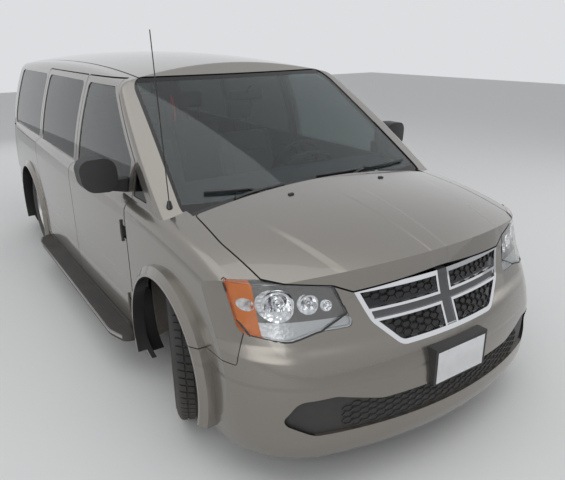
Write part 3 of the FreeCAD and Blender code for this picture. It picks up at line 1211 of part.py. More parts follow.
add("hinges", Part.makeCompound([door_hinges(), flipped(door_hinges()), gate_hinges(roof_panel)]))
for name, shape in (
    ("body_sides", pair(side)), ("roof_panel", roof_panel), ("front_fenders", pair(fender)),
    ("front_bumper", front_bumper), ("rear_bumper", rear_bumper), ("liftgate", liftgate),
    ("liftgate_glass", gate_glass), ("sliding_doors", pair(sliding_door)), ("tail_lamps", pair(tail_lamp)),
    ("side_glass", Part.makeCompound(side_glass.Solids + flipped(side_glass).Solids)),
    ("headlamp_lenses", pair(headlamp_lens)), ("headlamp_housings", pair(headlamp_bucket)),
    ("grille_frame", grille_frame), ("grille_mesh", grille_mesh), ("intake_grille", intake_grille),
    ("plate_holder", plate_holder),
):
    add(name, shape)
doc.recompute()
for thing in doc.Objects:
    if "Invalid" in thing.State or "Error" in thing.State:
        raise RuntimeError(f"{thing.Label} failed")
parts = [thing for thing in doc.RootObjects if thing.isDerivedFrom("Part::Feature")]
for thing in parts:
    if thing.Shape.isNull() or not thing.Shape.isValid():
        raise RuntimeError(f"{thing.Label} has no valid solid")
os.makedirs("parts", exist_ok=True)
for thing in parts:
    thing.Shape.exportStep(f"parts/{thing.Label}.step")
    print(thing.Label, len(thing.Shape.Solids), round(thing.Shape.Volume / 1e9, 5))
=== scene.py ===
# %% [markdown]
# # A pewter minivan, dressed around its imported solids
# The solids come from the CAD frame: every panel, lamp, wheel and seat already has its real shape and
# place. This lesson gives them finishes, and adds what is too fine for the solids: mesh, tread, bolts,
# wipers, lamp rings and padded seats. All lengths are in metres, the nose points to -Y and the driver
# sits on +X.

# %% Load the frame, and a helper that reads a part's box
import json
import math
from functools import partial

import bmesh
import bpy
import numpy as np
from mathutils import Matrix, Vector
from mathutils.bvhtree import BVHTree


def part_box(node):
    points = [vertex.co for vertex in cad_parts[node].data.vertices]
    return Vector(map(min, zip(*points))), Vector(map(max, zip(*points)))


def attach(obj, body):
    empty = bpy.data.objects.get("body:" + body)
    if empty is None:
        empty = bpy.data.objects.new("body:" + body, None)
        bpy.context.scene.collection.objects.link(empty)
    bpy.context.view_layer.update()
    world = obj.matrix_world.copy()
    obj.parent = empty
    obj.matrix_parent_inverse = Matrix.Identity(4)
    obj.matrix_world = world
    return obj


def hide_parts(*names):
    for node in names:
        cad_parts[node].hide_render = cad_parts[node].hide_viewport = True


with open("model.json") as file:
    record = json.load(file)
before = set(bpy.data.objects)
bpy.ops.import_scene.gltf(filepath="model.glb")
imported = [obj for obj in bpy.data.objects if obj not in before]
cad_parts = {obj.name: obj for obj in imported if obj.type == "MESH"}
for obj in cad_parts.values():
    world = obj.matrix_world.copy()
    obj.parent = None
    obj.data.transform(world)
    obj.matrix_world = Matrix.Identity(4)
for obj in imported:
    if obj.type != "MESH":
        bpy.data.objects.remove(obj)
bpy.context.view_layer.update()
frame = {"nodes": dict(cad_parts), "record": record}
nodes = frame["nodes"]

# %% [markdown]
# ## Camera
# The camera stands where the photograph was taken from: at eye height, ahead of the right front corner
# and looking down. Its place and focal length come from matching the wheelbase, the lamps and the
# windscreen of the van with their places in the picture.

# %% The camera of the photograph
scene = bpy.context.scene
EYE = Vector((-1.817, -3.935, 1.845))
YAW, PITCH, ROLL = (math.radians(v) for v in (33.45, 19.92, -0.67))
FOCAL_PX = 558.4
PHOTO_WIDTH = 565
camera_data = bpy.data.cameras.new("camera")
camera_data.sensor_width = 36.0
camera_data.lens = camera_data.sensor_width * FOCAL_PX / PHOTO_WIDTH
camera_data.clip_start = 0.05
camera = bpy.data.objects.new("camera", camera_data)
scene.collection.objects.link(camera)
scene.camera = camera
forward = Vector((math.sin(YAW) * math.cos(PITCH), math.cos(YAW) * math.cos(PITCH), -math.sin(PITCH)))
right = forward.cross(Vector((0, 0, 1))).normalized()
up = right.cross(forward)
level = right * math.cos(ROLL) + up * math.sin(ROLL)
upward = up * math.cos(ROLL) - right * math.sin(ROLL)
camera.matrix_world = Matrix.Translation(EYE) @ Matrix((level, upward, -forward)).transposed().to_4x4()
print("camera at", EYE[:], "lens", round(camera_data.lens, 2))

# %% [markdown]
# ## Node helpers
# The light, the finishes and the repeated cells are all node trees. These helpers build them from plain
# values and sockets, so that a formula reads as one line.

# %% Nodes, sums and textures
def feed(socket, value):
    """Join an output socket to an input, or set the input to a plain value."""
    if isinstance(value, bpy.types.NodeSocket):
        socket.id_data.links.new(value, socket)
    else:
        socket.default_value = value


def add_node(tree, kind, **settings):
    """One node; in_From_Min=value feeds the input From Min, and the rest are the node's properties."""
    node = tree.nodes.new(kind)
    for key, value in settings.items():
        if key.startswith("in_"):
            feed(node.inputs[key[3:].replace("_", " ")], value)
        else:
            setattr(node, key, value)
    return node


def calc(operation, *values, clamp=False):
    """A Math node over numbers and sockets, in the tree of its sockets."""
    tree = next(value.id_data for value in values if isinstance(value, bpy.types.NodeSocket))
    node = add_node(tree, "ShaderNodeMath", operation=operation, use_clamp=clamp)
    for socket, value in zip(node.inputs, values):
        feed(socket, value)
    return node.outputs[0]


plus, minus, times, divided = (partial(calc, name) for name in ("ADD", "SUBTRACT", "MULTIPLY", "DIVIDE"))
largest, is_under, is_over = (partial(calc, name) for name in ("MAXIMUM", "LESS_THAN", "GREATER_THAN"))
size_of = partial(calc, "ABSOLUTE")


def coords(tree, kind="Object"):
    return tree.nodes.new("ShaderNodeTexCoord").outputs[kind]


def axes(vector):
    """The X, Y and Z outputs of a vector."""
    return add_node(vector.id_data, "ShaderNodeSeparateXYZ", in_Vector=vector).outputs[:]


def noise(vector, scale, detail=3.0, roughness=0.55):
    return add_node(vector.id_data, "ShaderNodeTexNoise", in_Vector=vector, in_Scale=scale, in_Detail=detail,
        in_Roughness=roughness).outputs["Fac"]


def mix_colour(factor, first, second):
    return add_node(factor.id_data, "ShaderNodeMix", data_type="RGBA", in_Factor=factor, in_A=first,
        in_B=second).outputs["Result"]


def spread(value, low, high, **more):
    """A value from 0 to 1, stretched to run from low to high."""
    return add_node(value.id_data, "ShaderNodeMapRange", in_Value=value, in_To_Min=low, in_To_Max=high,
        **more).outputs["Result"]


def ramp(value, low, high):
    """0 below one value and 1 above the other, smoothly."""
    return spread(value, 0.0, 1.0, interpolation_type="SMOOTHSTEP", in_From_Min=low, in_From_Max=high)


def bump(height, strength, distance, **more):
    """The normal that a height gives."""
    return add_node(height.id_data, "ShaderNodeBump", in_Height=height, in_Strength=strength,
        in_Distance=distance, **more).outputs["Normal"]


def voronoi(vector, scale, feature="F1"):
    return add_node(vector.id_data, "ShaderNodeTexVoronoi", feature=feature, in_Vector=vector,
        in_Scale=scale).outputs


def dress(material, **sockets):
    """Feed the material's shader; spaces in the names of its sockets are written as underscores."""
    shader = material.node_tree.nodes["Principled BSDF"]
    for label, value in sockets.items():
        feed(shader.inputs[label.replace("_", " ")], value)


def new_finish(name, **sockets):
    """A material with plain values on its shader's sockets, and its node tree."""
    material = bpy.data.materials.new(name)
    material.use_nodes = True
    dress(material, **sockets)
    return material, material.node_tree


# %% [markdown]
# ## Floor and light
# A plain pale floor and a soft studio: one wide lamp overhead, one on each side, one behind, and an even
# world. The world shows white to the camera and in reflections by its colour, so that the light on the
# van itself stays at a plain level.

# %% Floor, world and lamps
STUDIO_WHITE = (0.72, 0.73, 0.75, 1.0)
SKY_LIGHT = (0.50, 0.51, 0.53, 1)
FLOOR_GREY = (0.74, 0.74, 0.73, 1)
FLOOR_HALF = 20.0


def light_kinds(tree):
    """1 where a ray is a camera, glossy or transmission ray, else 0."""
    path = tree.nodes.new("ShaderNodeLightPath").outputs
    return largest(largest(path["Is Camera Ray"], path["Is Glossy Ray"]), path["Is Transmission Ray"])


floor_mesh = bpy.data.meshes.new("floor")
floor_mesh.from_pydata([(x * FLOOR_HALF, y * FLOOR_HALF, 0) for x, y in ((-1, -1), (1, -1), (1, 1), (-1, 1))],
    [], [(0, 1, 2, 3)])
floor = bpy.data.objects.new("floor", floor_mesh)
scene.collection.objects.link(floor)
floor_paint, _ = new_finish("floor_paint", Base_Color=FLOOR_GREY, Roughness=0.85)
floor_mesh.materials.append(floor_paint)

world = bpy.data.worlds.new("studio")
scene.world = world
world.use_nodes = True
background = world.node_tree.nodes["Background"]
feed(background.inputs["Color"], mix_colour(light_kinds(world.node_tree), SKY_LIGHT, STUDIO_WHITE))
background.inputs["Strength"].default_value = 1.0


def soft_lamp(name, place, aim, size, power, mirrored=True):
    """An area lamp at place, facing aim; mirrored says whether polished surfaces show it."""
    data = bpy.data.lights.new(name, "AREA")
    data.shape = "RECTANGLE"
    data.size, data.size_y = size
    data.energy = power
    lamp = bpy.data.objects.new(name, data)
    lamp.matrix_world = (Matrix.Translation(place)
        @ (Vector(aim) - Vector(place)).to_track_quat("-Z", "Y").to_matrix().to_4x4())
    lamp.visible_glossy = mirrored
    scene.collection.objects.link(lamp)


soft_lamp("overhead", (-1.0, -1.5, 5.5), (0, -0.5, 0.6), (8.0, 6.0), 110)
soft_lamp("front_side", (-5.5, -5.5, 3.6), (0, -1.5, 0.7), (5.0, 4.0), 110)
soft_lamp("far_side", (6.0, -3.0, 3.6), (0, -0.5, 0.8), (4.5, 3.6), 60)
soft_lamp("behind", (1.0, 7.0, 3.4), (0, 0.5, 0.8), (7.0, 4.0), 55, mirrored=False)
scene.view_settings.view_transform = "Standard"
print("floor, world and four lamps")

# %% [markdown]
# ## Effects that several finishes share
# Road dust gathers low on a car and on its ledges, fine grain lies on every moulded plastic, and metallic
# paint has flakes. Each is one shader node group with named sockets, so that each material can set its
# own amount. A group hands out colours, masks, heights and normals only.

# %% Road dust, plastic grain and paint flakes
def new_group(name, inputs, outputs):
    """A shader node group, what it is given and what it hands out; a tuple default makes a colour."""
    group = bpy.data.node_groups.new(name, "ShaderNodeTree")
    for label, default in inputs.items():
        kind = "NodeSocketColor" if isinstance(default, tuple) else "NodeSocketFloat"
        group.interface.new_socket(label, in_out="INPUT", socket_type=kind).default_value = default
    for label, kind in outputs.items():
        group.interface.new_socket(label, in_out="OUTPUT", socket_type=f"NodeSocket{kind}")
    return group, group.nodes.new("NodeGroupInput").outputs, group.nodes.new("NodeGroupOutput").inputs


dust_group, given, handed = new_group("road_dust",
    {"Amount": 0.5, "Top": 0.55, "Colour": (0.30, 0.26, 0.21, 1), "Under": (0.5, 0.5, 0.5, 1)},
    {"Colour": "Color", "Mask": "Float"})
position = coords(dust_group)
low_down = minus(1.0, divided(axes(position)[2], given["Top"]), clamp=True)
patches = plus(noise(position, 3.1, 6.0, 0.62), noise(position, 46.0, 3.0, 0.7))
mask = times(times(low_down, patches), given["Amount"], clamp=True)
feed(handed["Mask"], mask)
feed(handed["Colour"], mix_colour(mask, given["Under"], given["Colour"]))

grain_group, given, handed = new_group("plastic_grain", {"Scale": 900.0, "Depth": 0.2}, {"Normal": "Vector"})
cells = voronoi(coords(grain_group), given["Scale"], "SMOOTH_F1")
feed(handed["Normal"], bump(cells["Distance"], given["Depth"], 0.0008))

flake_group, given, handed = new_group("paint_flakes", {"Base": (0.4, 0.38, 0.35, 1), "Spread": 0.5},
    {"Colour": "Color", "Normal": "Vector"})
position = coords(flake_group)
flakes = voronoi(position, 1400.0)["Position"]
sparkle = times(minus(noise(flakes, 900.0, 1.0), 0.5), given["Spread"])
broad = times(minus(noise(position, 1.3, 2.0), 0.5), 0.10)
shade = add_node(flake_group, "ShaderNodeHueSaturation", in_Color=given["Base"],
    in_Value=plus(plus(sparkle, broad), 1.0))
feed(handed["Colour"], shade.outputs["Color"])
feed(handed["Normal"], bump(noise(position, 260.0, 1.0), 0.05, 0.0006))

# %% Pressed lines in the panels, as a height
# The hood's two side creases and its middle ridge: distance from the middle at y = 0 and its slope, half
# width, where the line starts and is full (distance ahead of y = 0), and height.
HOOD_LINES = ((0.905, 0.179, 0.022, 1.62, 2.20, 0.0075), (0.145, 0.040, 0.009, 1.75, 2.0, 0.0030))
# Level lines: where the step begins and ends (depth below z = 0, so minus the height), and its height.
NOSE_LINES = ((-0.705, -0.635, 0.016), (-0.548, -0.525, -0.0045))
DOOR_LINE = (-0.475, -0.445, 0.0065)
HOOD_REAR, NOSE_REAR, NOSE_TOP = -1.6, -2.0, 0.86
DOORS_FROM, DOORS_TO = -1.19, 1.1

crease_group, given, handed = new_group("panel_creases", {"Amount": 1.0}, {"Height": "Float"})
across, along, high = axes(coords(crease_group))
out, nosewards, down = size_of(across), times(along, -1.0), times(high, -1.0)
hood_heights = [times(times(ramp(minus(plus(offset, times(along, slope)), out), -width, width),
    ramp(nosewards, start, full)), height) for offset, slope, width, start, full, height in HOOD_LINES]
nose_heights = [times(ramp(down, start, end), height) for start, end, height in NOSE_LINES]
door_height = times(ramp(down, *DOOR_LINE[:2]), DOOR_LINE[2])
on_hood = times(is_under(along, HOOD_REAR), is_over(high, NOSE_TOP))
on_nose = times(is_under(along, NOSE_REAR), is_under(high, NOSE_TOP))
on_doors = times(is_over(along, DOORS_FROM), is_under(along, DOORS_TO))
front_height = plus(times(plus(*hood_heights), on_hood), times(plus(*nose_heights), on_nose))
feed(handed["Height"], times(plus(front_height, times(door_height, on_doors)), given["Amount"]))
print("node groups", [group.name for group in bpy.data.node_groups])

# %% [markdown]
# ## Finishes
# Every finish starts from a Principled shader. Values that are the same all over are set on the shader's
# own sockets, and the groups above feed only its other sockets.

# %% Helpers for a finish
def use_group(tree, group, **values):
    """The outputs of a group's node."""
    node = add_node(tree, "ShaderNodeGroup", node_tree=group)
    for label, value in values.items():
        feed(node.inputs[label], value)
    return node.outputs


def drift(tree, low, high, scale):
    """A value that drifts between two others, as wiped and unwiped areas do."""
    return spread(noise(coords(tree), scale, 4.0), low, high)


# %% Body paint: warm silver with flakes, clear coat and dust along the sills
# The panels are whole walls, so masks from the surface's own normal line their inner faces with trim and
# coat the wheel arches.
PAINT = (0.242, 0.224, 0.198, 1)
LINING = (0.20, 0.19, 0.18, 1)
UNDERSEAL = (0.018, 0.018, 0.018, 1)
AXLES = (-1.610, 1.468)
AXLE_HEIGHT = 0.362
ARCH_REACH = 0.47
CABIN_START, GATE_START, ROOF_FOOT = -1.15, 2.05, 1.45


def inner_mask(place, facing):
    """1 on faces that look into the cabin: side walls, the roof's underside and the tailgate's inside."""
    inward = is_under(times(place[0], facing[0]), -0.22)
    side = times(inward, is_over(place[1], CABIN_START))
    roof = times(is_under(facing[2], -0.5), is_over(place[2], ROOF_FOOT))
    gate = times(is_under(facing[1], -0.5), is_over(place[1], GATE_START))
    return largest(largest(side, roof), gate)


def arch_mask(place, facing):
    """1 on faces that look at an axle from its arch, and on inner faces ahead of the cabin."""
    rise = minus(AXLE_HEIGHT, place[2])
    arches = []
    for axle in AXLES:
        run = minus(axle, place[1])
        near = is_under(plus(times(run, run), times(rise, rise)), ARCH_REACH ** 2)
        towards = plus(times(run, facing[1]), times(rise, facing[2]))
        arches.append(times(near, is_over(towards, 0.16)))
    inward = is_under(times(place[0], facing[0]), -0.10)
    return largest(largest(*arches), times(inward, is_under(place[1], CABIN_START)))


paint, tree = new_finish("pewter_paint", Coat_Roughness=0.03, Coat_IOR=1.5)
flake = use_group(tree, flake_group, Base=PAINT, Spread=0.35)
dust = use_group(tree, dust_group, Amount=0.30, Top=0.62, Under=flake["Colour"])
creases = use_group(tree, crease_group, Amount=1.0)
place, facing = axes(coords(tree)), axes(coords(tree, "Normal"))
lined, arched = inner_mask(place, facing), arch_mask(place, facing)
bare = times(minus(1.0, lined), minus(1.0, arched))
dress(paint, Base_Color=mix_colour(arched, mix_colour(lined, dust["Colour"], LINING), UNDERSEAL),
    Metallic=times(bare, 0.80), Coat_Weight=bare,
    Roughness=largest(spread(dust["Mask"], 0.27, 0.62), times(lined, 0.75)),
    Normal=bump(creases["Height"], 1.0, 1.0, in_Normal=flake["Normal"]))


# %% Plastics, metals and rubber
def plastic(name, colour, roughness, grain_scale, grain_depth, dusty=0.0):
    material, tree = new_finish(name, Roughness=roughness)
    dust = use_group(tree, dust_group, Amount=dusty, Top=0.8, Under=colour)
    worn = tuple(min(1, c * 1.35 + 0.004) for c in colour[:3]) + (1,)
    dress(material, Base_Color=mix_colour(noise(coords(tree), 7.0), dust["Colour"], worn),
        Roughness=drift(tree, roughness - 0.06, roughness + 0.08, 9.0),
        Normal=use_group(tree, grain_group, Scale=grain_scale, Depth=grain_depth)["Normal"])
    return material


def metal(name, colour, roughness_low, roughness_high, metallic=1.0, dusty=0.0, streak=0.15):
    material, tree = new_finish(name, Metallic=metallic)
    dust = use_group(tree, dust_group, Amount=dusty, Top=0.9, Under=colour)
    dress(material, Base_Color=dust["Colour"], Roughness=drift(tree, roughness_low, roughness_high, 14.0),
        Normal=bump(noise(coords(tree), 420.0), streak, 0.0004))
    return material


CHROME = (0.80, 0.81, 0.82, 1)
black_trim = plastic("black_grained_trim", (0.016, 0.016, 0.017, 1), 0.52, 1100, 0.35, 0.25)
gloss_black = plastic("smooth_black_trim", (0.008, 0.008, 0.009, 1), 0.24, 1500, 0.05, 0.1)
cabin_plastic = plastic("cabin_plastic", (0.085, 0.085, 0.09, 1), 0.58, 800, 0.4)
tank_plastic = plastic("tank_plastic", (0.02, 0.02, 0.021, 1), 0.6, 300, 0.3, 0.6)
chrome = metal("polished_chrome", CHROME, 0.05, 0.13, dusty=0.08, streak=0.02)
alloy = metal("wheel_alloy", (0.56, 0.56, 0.57, 1), 0.28, 0.42, dusty=0.35, streak=0.05)
dark_steel = metal("painted_steel", (0.05, 0.05, 0.052, 1), 0.4, 0.62, metallic=0.5, dusty=0.5)
underbody = metal("coated_underbody", (0.045, 0.045, 0.047, 1), 0.55, 0.8, metallic=0.1, dusty=0.6, streak=0.4)
cast_metal = metal("cast_metal", (0.36, 0.36, 0.37, 1), 0.4, 0.6, dusty=0.3, streak=0.6)

rubber, tree = new_finish("tyre_rubber", Roughness=0.8)
dust = use_group(tree, dust_group, Amount=0.34, Top=0.75, Under=(0.018, 0.018, 0.019, 1),
    Colour=(0.16, 0.145, 0.12, 1))
dress(rubber, Base_Color=dust["Colour"], Roughness=drift(tree, 0.62, 0.86, 12.0),
    Normal=bump(noise(coords(tree), 300.0), 0.3, 0.0006))

# %% Lamp housings and grille
# Each bowl's middle (x, z) and the radius of its ring. The amber lamp has no ring.
BOWLS = ((0.752, 0.850, 0.062), (0.636, 0.848, 0.038), (0.566, 0.836, 0.021))
AMBER_BOWL = (0.842, 0.850, 0.023)
BOWL_MARGIN = 0.002
AMBER_FROM, BEZEL_FOOT = 0.815, 0.785


def lamp_housing():
    """Mirror in the bowls, satin grey on the bezel, amber at the outer end."""
    material, tree = new_finish("lamp_housing")
    x, _, z = axes(coords(tree))
    out = size_of(x)
    bowls = None
    for bowl_x, bowl_z, radius in (*BOWLS, AMBER_BOWL):
        across, upward = minus(out, bowl_x), minus(z, bowl_z)
        inside = is_under(plus(times(across, across), times(upward, upward)), (radius + BOWL_MARGIN) ** 2)
        bowls = inside if bowls is None else largest(bowls, inside)
    amber = is_over(out, AMBER_FROM)
    bezel = mix_colour(is_under(z, BEZEL_FOOT), (0.17, 0.165, 0.16, 1), (0.55, 0.56, 0.57, 1))
    bezel = mix_colour(amber, bezel, (0.75, 0.19, 0.012, 1))
    ripple = voronoi(coords(tree), 58.0)["Distance"]
    facet = mix_colour(ripple, (0.92, 0.92, 0.93, 1), (0.50, 0.50, 0.52, 1))
    dress(material, Base_Color=mix_colour(bowls, bezel, facet),
        Metallic=times(largest(bowls, 0.75), minus(1.0, amber)),
        Roughness=minus(0.36, times(bowls, 0.27)), Normal=bump(ripple, 0.35, 0.003))
    return material


housing = lamp_housing()

# The grille's surround is chrome; the channel along the middle of its post and bar is dark.
POST_CHANNEL, POST_FOOT = 0.0288, 0.662
BAR_Z, BAR_CHANNEL, BAR_REACH = 0.775, 0.0148, 0.385
grille_finish, tree = new_finish("grille_chrome")
x, _, z = axes(coords(tree))
out = size_of(x)
in_post = times(is_under(out, POST_CHANNEL), is_over(z, POST_FOOT))
in_bar = times(is_under(size_of(minus(z, BAR_Z)), BAR_CHANNEL), is_under(out, BAR_REACH))
channel = largest(in_post, in_bar)
dress(grille_finish, Base_Color=mix_colour(channel, CHROME, (0.10, 0.10, 0.105, 1)),
    Metallic=minus(1.0, times(channel, 0.6)),
    Roughness=plus(times(noise(coords(tree), 14.0), 0.09), times(channel, 0.25)))


# %% Glass and lenses
SCREEN_FOOT, SCREEN_TOP = (1.02, 0.800), (1.64, 0.665)  # height, and half the clear width there
BAND_FOOT, BAND_TOP = 1.085, 1.612


def screen_border(tree):
    """1 in a band along the windscreen's edges, from its outline seen from ahead."""
    x, _, z = axes(coords(tree))
    edge = spread(z, SCREEN_FOOT[1], SCREEN_TOP[1], in_From_Min=SCREEN_FOOT[0], in_From_Max=SCREEN_TOP[0])
    return largest(largest(is_over(size_of(x), edge), is_over(z, BAND_TOP)), is_under(z, BAND_FOOT))


def glass(name, colour, roughness=0.0, dirt=0.06, border=None):
    """Clear or tinted glass with a thin film of dust; border(tree) may give a black printed edge."""
    material, tree = new_finish(name, Transmission_Weight=1.0, IOR=1.45)
    film = times(noise(coords(tree), 5.0, 5.0, 0.6), dirt)
    tint = mix_colour(film, colour, (0.55, 0.54, 0.5, 1))
    if border:
        tint = mix_colour(border(tree), tint, (0.006, 0.006, 0.007, 1))
    dress(material, Base_Color=tint, Roughness=drift(tree, roughness, roughness + 0.05, 6.0))
    return material


screen_glass = glass("windscreen_glass", (0.42, 0.50, 0.51, 1), border=screen_border)
dark_glass = glass("privacy_glass", (0.045, 0.052, 0.050, 1))
door_glass = glass("door_glass", (0.20, 0.24, 0.225, 1))
lens_glass = glass("clear_lens", (0.97, 0.98, 0.98, 1), dirt=0.03)
red_lens = glass("red_lens", (0.62, 0.01, 0.012, 1), 0.1)

# %% Seat cloth: a woven fabric with a slight sheen
cloth, tree = new_finish("seat_cloth", Roughness=0.85, Sheen_Weight=0.3, Sheen_Roughness=0.4)
threads = times(*(add_node(tree, "ShaderNodeTexWave", bands_direction=direction, in_Vector=coords(tree),
    in_Scale=230.0, in_Distortion=1.2, in_Detail=2.0).outputs["Fac"] for direction in "XZ"))
dress(cloth, Base_Color=mix_colour(threads, (0.20, 0.195, 0.19, 1), (0.33, 0.32, 0.31, 1)),
    Normal=bump(threads, 0.4, 0.0008))
print("finishes", len(bpy.data.materials))

# %% Give each node its finish
DRESSED = (
    (paint, "body_sides roof_panel front_fenders front_bumper rear_bumper hood liftgate sliding_doors"),
    (paint, "front_door_left front_door_right"),
    (underbody, "floor_pan front_aprons"),
    (dark_steel, "front_subframe rear_axle knuckle_left knuckle_right hinges radiator"),
    (cast_metal, "exhaust engine_block"),
    (tank_plastic, "fuel_tank"),
    (grille_finish, "grille_frame"),
    (gloss_black, "grille_mesh antenna"),
    (black_trim, "intake_grille plate_holder cowl_panel running_boards door_mirror_left door_mirror_right"),
    (housing, "headlamp_housings"),
    (lens_glass, "headlamp_lenses"),
    (red_lens, "tail_lamps"),
    (screen_glass, "windshield"),
    (dark_glass, "side_glass liftgate_glass"),
    (door_glass, "front_door_glass_left front_door_glass_right"),
    (cabin_plastic, "dashboard steering_wheel"),
    (cloth, "front_seats middle_seats rear_bench"),
    (rubber, "tyre_front_left tyre_front_right tyre_rear_left tyre_rear_right"),
    (alloy, "wheel_front_left wheel_front_right wheel_rear_left wheel_rear_right"),
)
finishes = {name: finish for finish, names in DRESSED for name in names.split()}
for name, node in nodes.items():
    node.data.materials.clear()
    node.data.materials.append(finishes[name])
print("nodes dressed", len(nodes))

# %% [markdown]
# ## Helpers for the added pieces
# A piece is a mesh in its final place. It rides on a body of the frame. Places on a curved panel are found by
# casting a ray at the panel's own mesh.

# %% Pieces and rays
RAY_START = 3.2


def new_piece(name, mesh, material, body, sharp=35.0):
    """Link a mesh, or a list of meshes, as a piece that rides on a body, smooth up to an edge angle."""
    if isinstance(mesh, list):
        mesh = joined(mesh, name)
    mesh.materials.clear()
    mesh.materials.append(material)
    mesh.shade_smooth()
    mesh.set_sharp_from_angle(angle=math.radians(sharp))
    piece = bpy.data.objects.new(name, mesh)
    scene.collection.objects.link(piece)
    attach(piece, body)
    return piece


def surface_of(*names):
    """The joined surface of some nodes, for rays."""
    points, faces = [], []
    for name in names:
        mesh = nodes[name].data
        start = len(points)
        points += [vertex.co.copy() for vertex in mesh.vertices]
        faces += [[start + index for index in face.vertices] for face in mesh.polygons]
    return BVHTree.FromPolygons(points, faces)


def struck(surface, start, way):
    """Where a ray meets the surface, and the normal that faces it; two Nones where it misses."""
    place, normal, _, _ = surface.ray_cast(Vector(start), Vector(way))
    if place is None:
        return None, None
    return place, normal if normal.dot(Vector(way)) < 0 else -normal


def ahead(surface, x, z):
    return struck(surface, (x, -RAY_START, z), (0, 1, 0))


def behind(surface, x, z):
    return struck(surface, (x, RAY_START, z), (0, -1, 0))


def frame_at(place, normal, across=Vector((1, 0, 0))):
    """A matrix at place whose Z is the normal and whose X runs along across as nearly as it can."""
    z_axis = normal.normalized()
    y_axis = z_axis.cross(across).normalized()
    x_axis = y_axis.cross(z_axis)
    return Matrix.Translation(place) @ Matrix((x_axis, y_axis, z_axis)).transposed().to_4x4()


# %% Swept, turned and rounded shapes
def mm(*points):
    """Points written in millimetres, as metres."""
    return [tuple(value / 1000 for value in point) for point in points]


def plain_mesh(name, verts, faces):
    mesh = bpy.data.meshes.new(name)
    mesh.from_pydata(verts, [], faces)
    return mesh


def freed(made, name):
    """The bmesh as a mesh."""
    mesh = bpy.data.meshes.new(name)
    made.to_mesh(mesh)
    made.free()
    return mesh


def turns(count):
    """Even angles once round."""
    return np.linspace(0, math.tau, count, endpoint=False)


def ring_faces(rings, width, closed=False):
    """Quads between rings of width points each; closed joins the last ring to the first."""
    return [(k * width + j, k * width + (j + 1) % width,
        (k + 1) % rings * width + (j + 1) % width, (k + 1) % rings * width + j)
        for k in range(rings if closed else rings - 1) for j in range(width)]


def swept(points, section, closed=False, ups=None):
    """A mesh that carries a closed section (right, up) along points; each up vector may be given."""
    count, width = len(points), len(section)
    verts = []
    for k, point in enumerate(points):
        before = points[k - 1] if k or closed else points[k]
        after = points[(k + 1) % count] if k < count - 1 or closed else points[k]
        way = (after - before).normalized()
        side = way.cross(ups[k] if ups else Vector((0, 0, 1))).normalized()
        lift = side.cross(way)
        verts += [point + side * u + lift * v for u, v in section]
    faces = ring_faces(count, width, closed)
    if not closed:
        faces += [tuple(reversed(range(width))), tuple(range((count - 1) * width, count * width))]
    return plain_mesh("swept", verts, faces)


def laid(spots, lift, section):
    """A section swept along (place, normal) spots of a surface, lifted off it."""
    return swept([place + normal * lift for place, normal in spots], section, ups=[normal for _, normal in spots])


def round_section(radius, count=10, flat=1.0):
    return [(radius * math.cos(t), radius * flat * math.sin(t)) for t in turns(count)]


def lathe(profile, matrix, count=40):
    """A mesh turned about the matrix's Z axis from (radius, height) pairs."""
    verts = [matrix @ Vector((r * math.cos(t), r * math.sin(t), h)) for r, h in profile for t in turns(count)]
    return plain_mesh("lathe", verts, ring_faces(len(profile), count))


def joined(meshes, name):
    """Several meshes in place, as one."""
    made = bmesh.new()
    for mesh in meshes:
        made.from_mesh(mesh)
    return freed(made, name)


def block(matrix, size, bevel, segments=3):
    """A rounded block with its centre at the matrix."""
    made = bmesh.new()
    bmesh.ops.create_cube(made, size=1.0, matrix=matrix @ Matrix.Diagonal((*size, 1)))
    bmesh.ops.bevel(made, geom=made.edges[:], offset=bevel, segments=segments, affect="EDGES", profile=0.5)
    return freed(made, "block")


def evaluated(thing):
    """An object's mesh as its modifiers make it; the modifiers are then removed."""
    mesh = bpy.data.meshes.new_from_object(thing.evaluated_get(bpy.context.evaluated_depsgraph_get()))
    thing.modifiers.clear()
    return mesh


# %% [markdown]
# Cells and nuts repeat one small template at many places. A geometry node group with named inputs sets
# the template on every point of a mesh and turns it by the point's own angles.

# %% The node group that repeats a template
setter = bpy.data.node_groups.new("set_on_points", "GeometryNodeTree")
set_sockets = {label: setter.interface.new_socket(label, in_out="INPUT", socket_type=f"NodeSocket{kind}")
    for label, kind in (("Geometry", "Geometry"), ("Template", "Object"), ("Finish", "Material"))}
setter.interface.new_socket("Geometry", in_out="OUTPUT", socket_type="NodeSocketGeometry")
given = setter.nodes.new("NodeGroupInput").outputs
template_info = add_node(setter, "GeometryNodeObjectInfo", in_Object=given["Template"])
turn_value = add_node(setter, "GeometryNodeInputNamedAttribute", data_type="FLOAT_VECTOR", in_Name="turn")
as_turn = setter.nodes.new("FunctionNodeEulerToRotation")
feed(as_turn.inputs[0], turn_value.outputs["Attribute"])
on_points = add_node(setter, "GeometryNodeInstanceOnPoints", in_Points=given["Geometry"],
    in_Instance=template_info.outputs["Geometry"], in_Rotation=as_turn.outputs[0])
realize = add_node(setter, "GeometryNodeRealizeInstances", in_Geometry=on_points.outputs["Instances"])
paint_all = add_node(setter, "GeometryNodeSetMaterial", in_Geometry=realize.outputs["Geometry"],
    in_Material=given["Finish"])
feed(setter.nodes.new("NodeGroupOutput").inputs["Geometry"], paint_all.outputs["Geometry"])


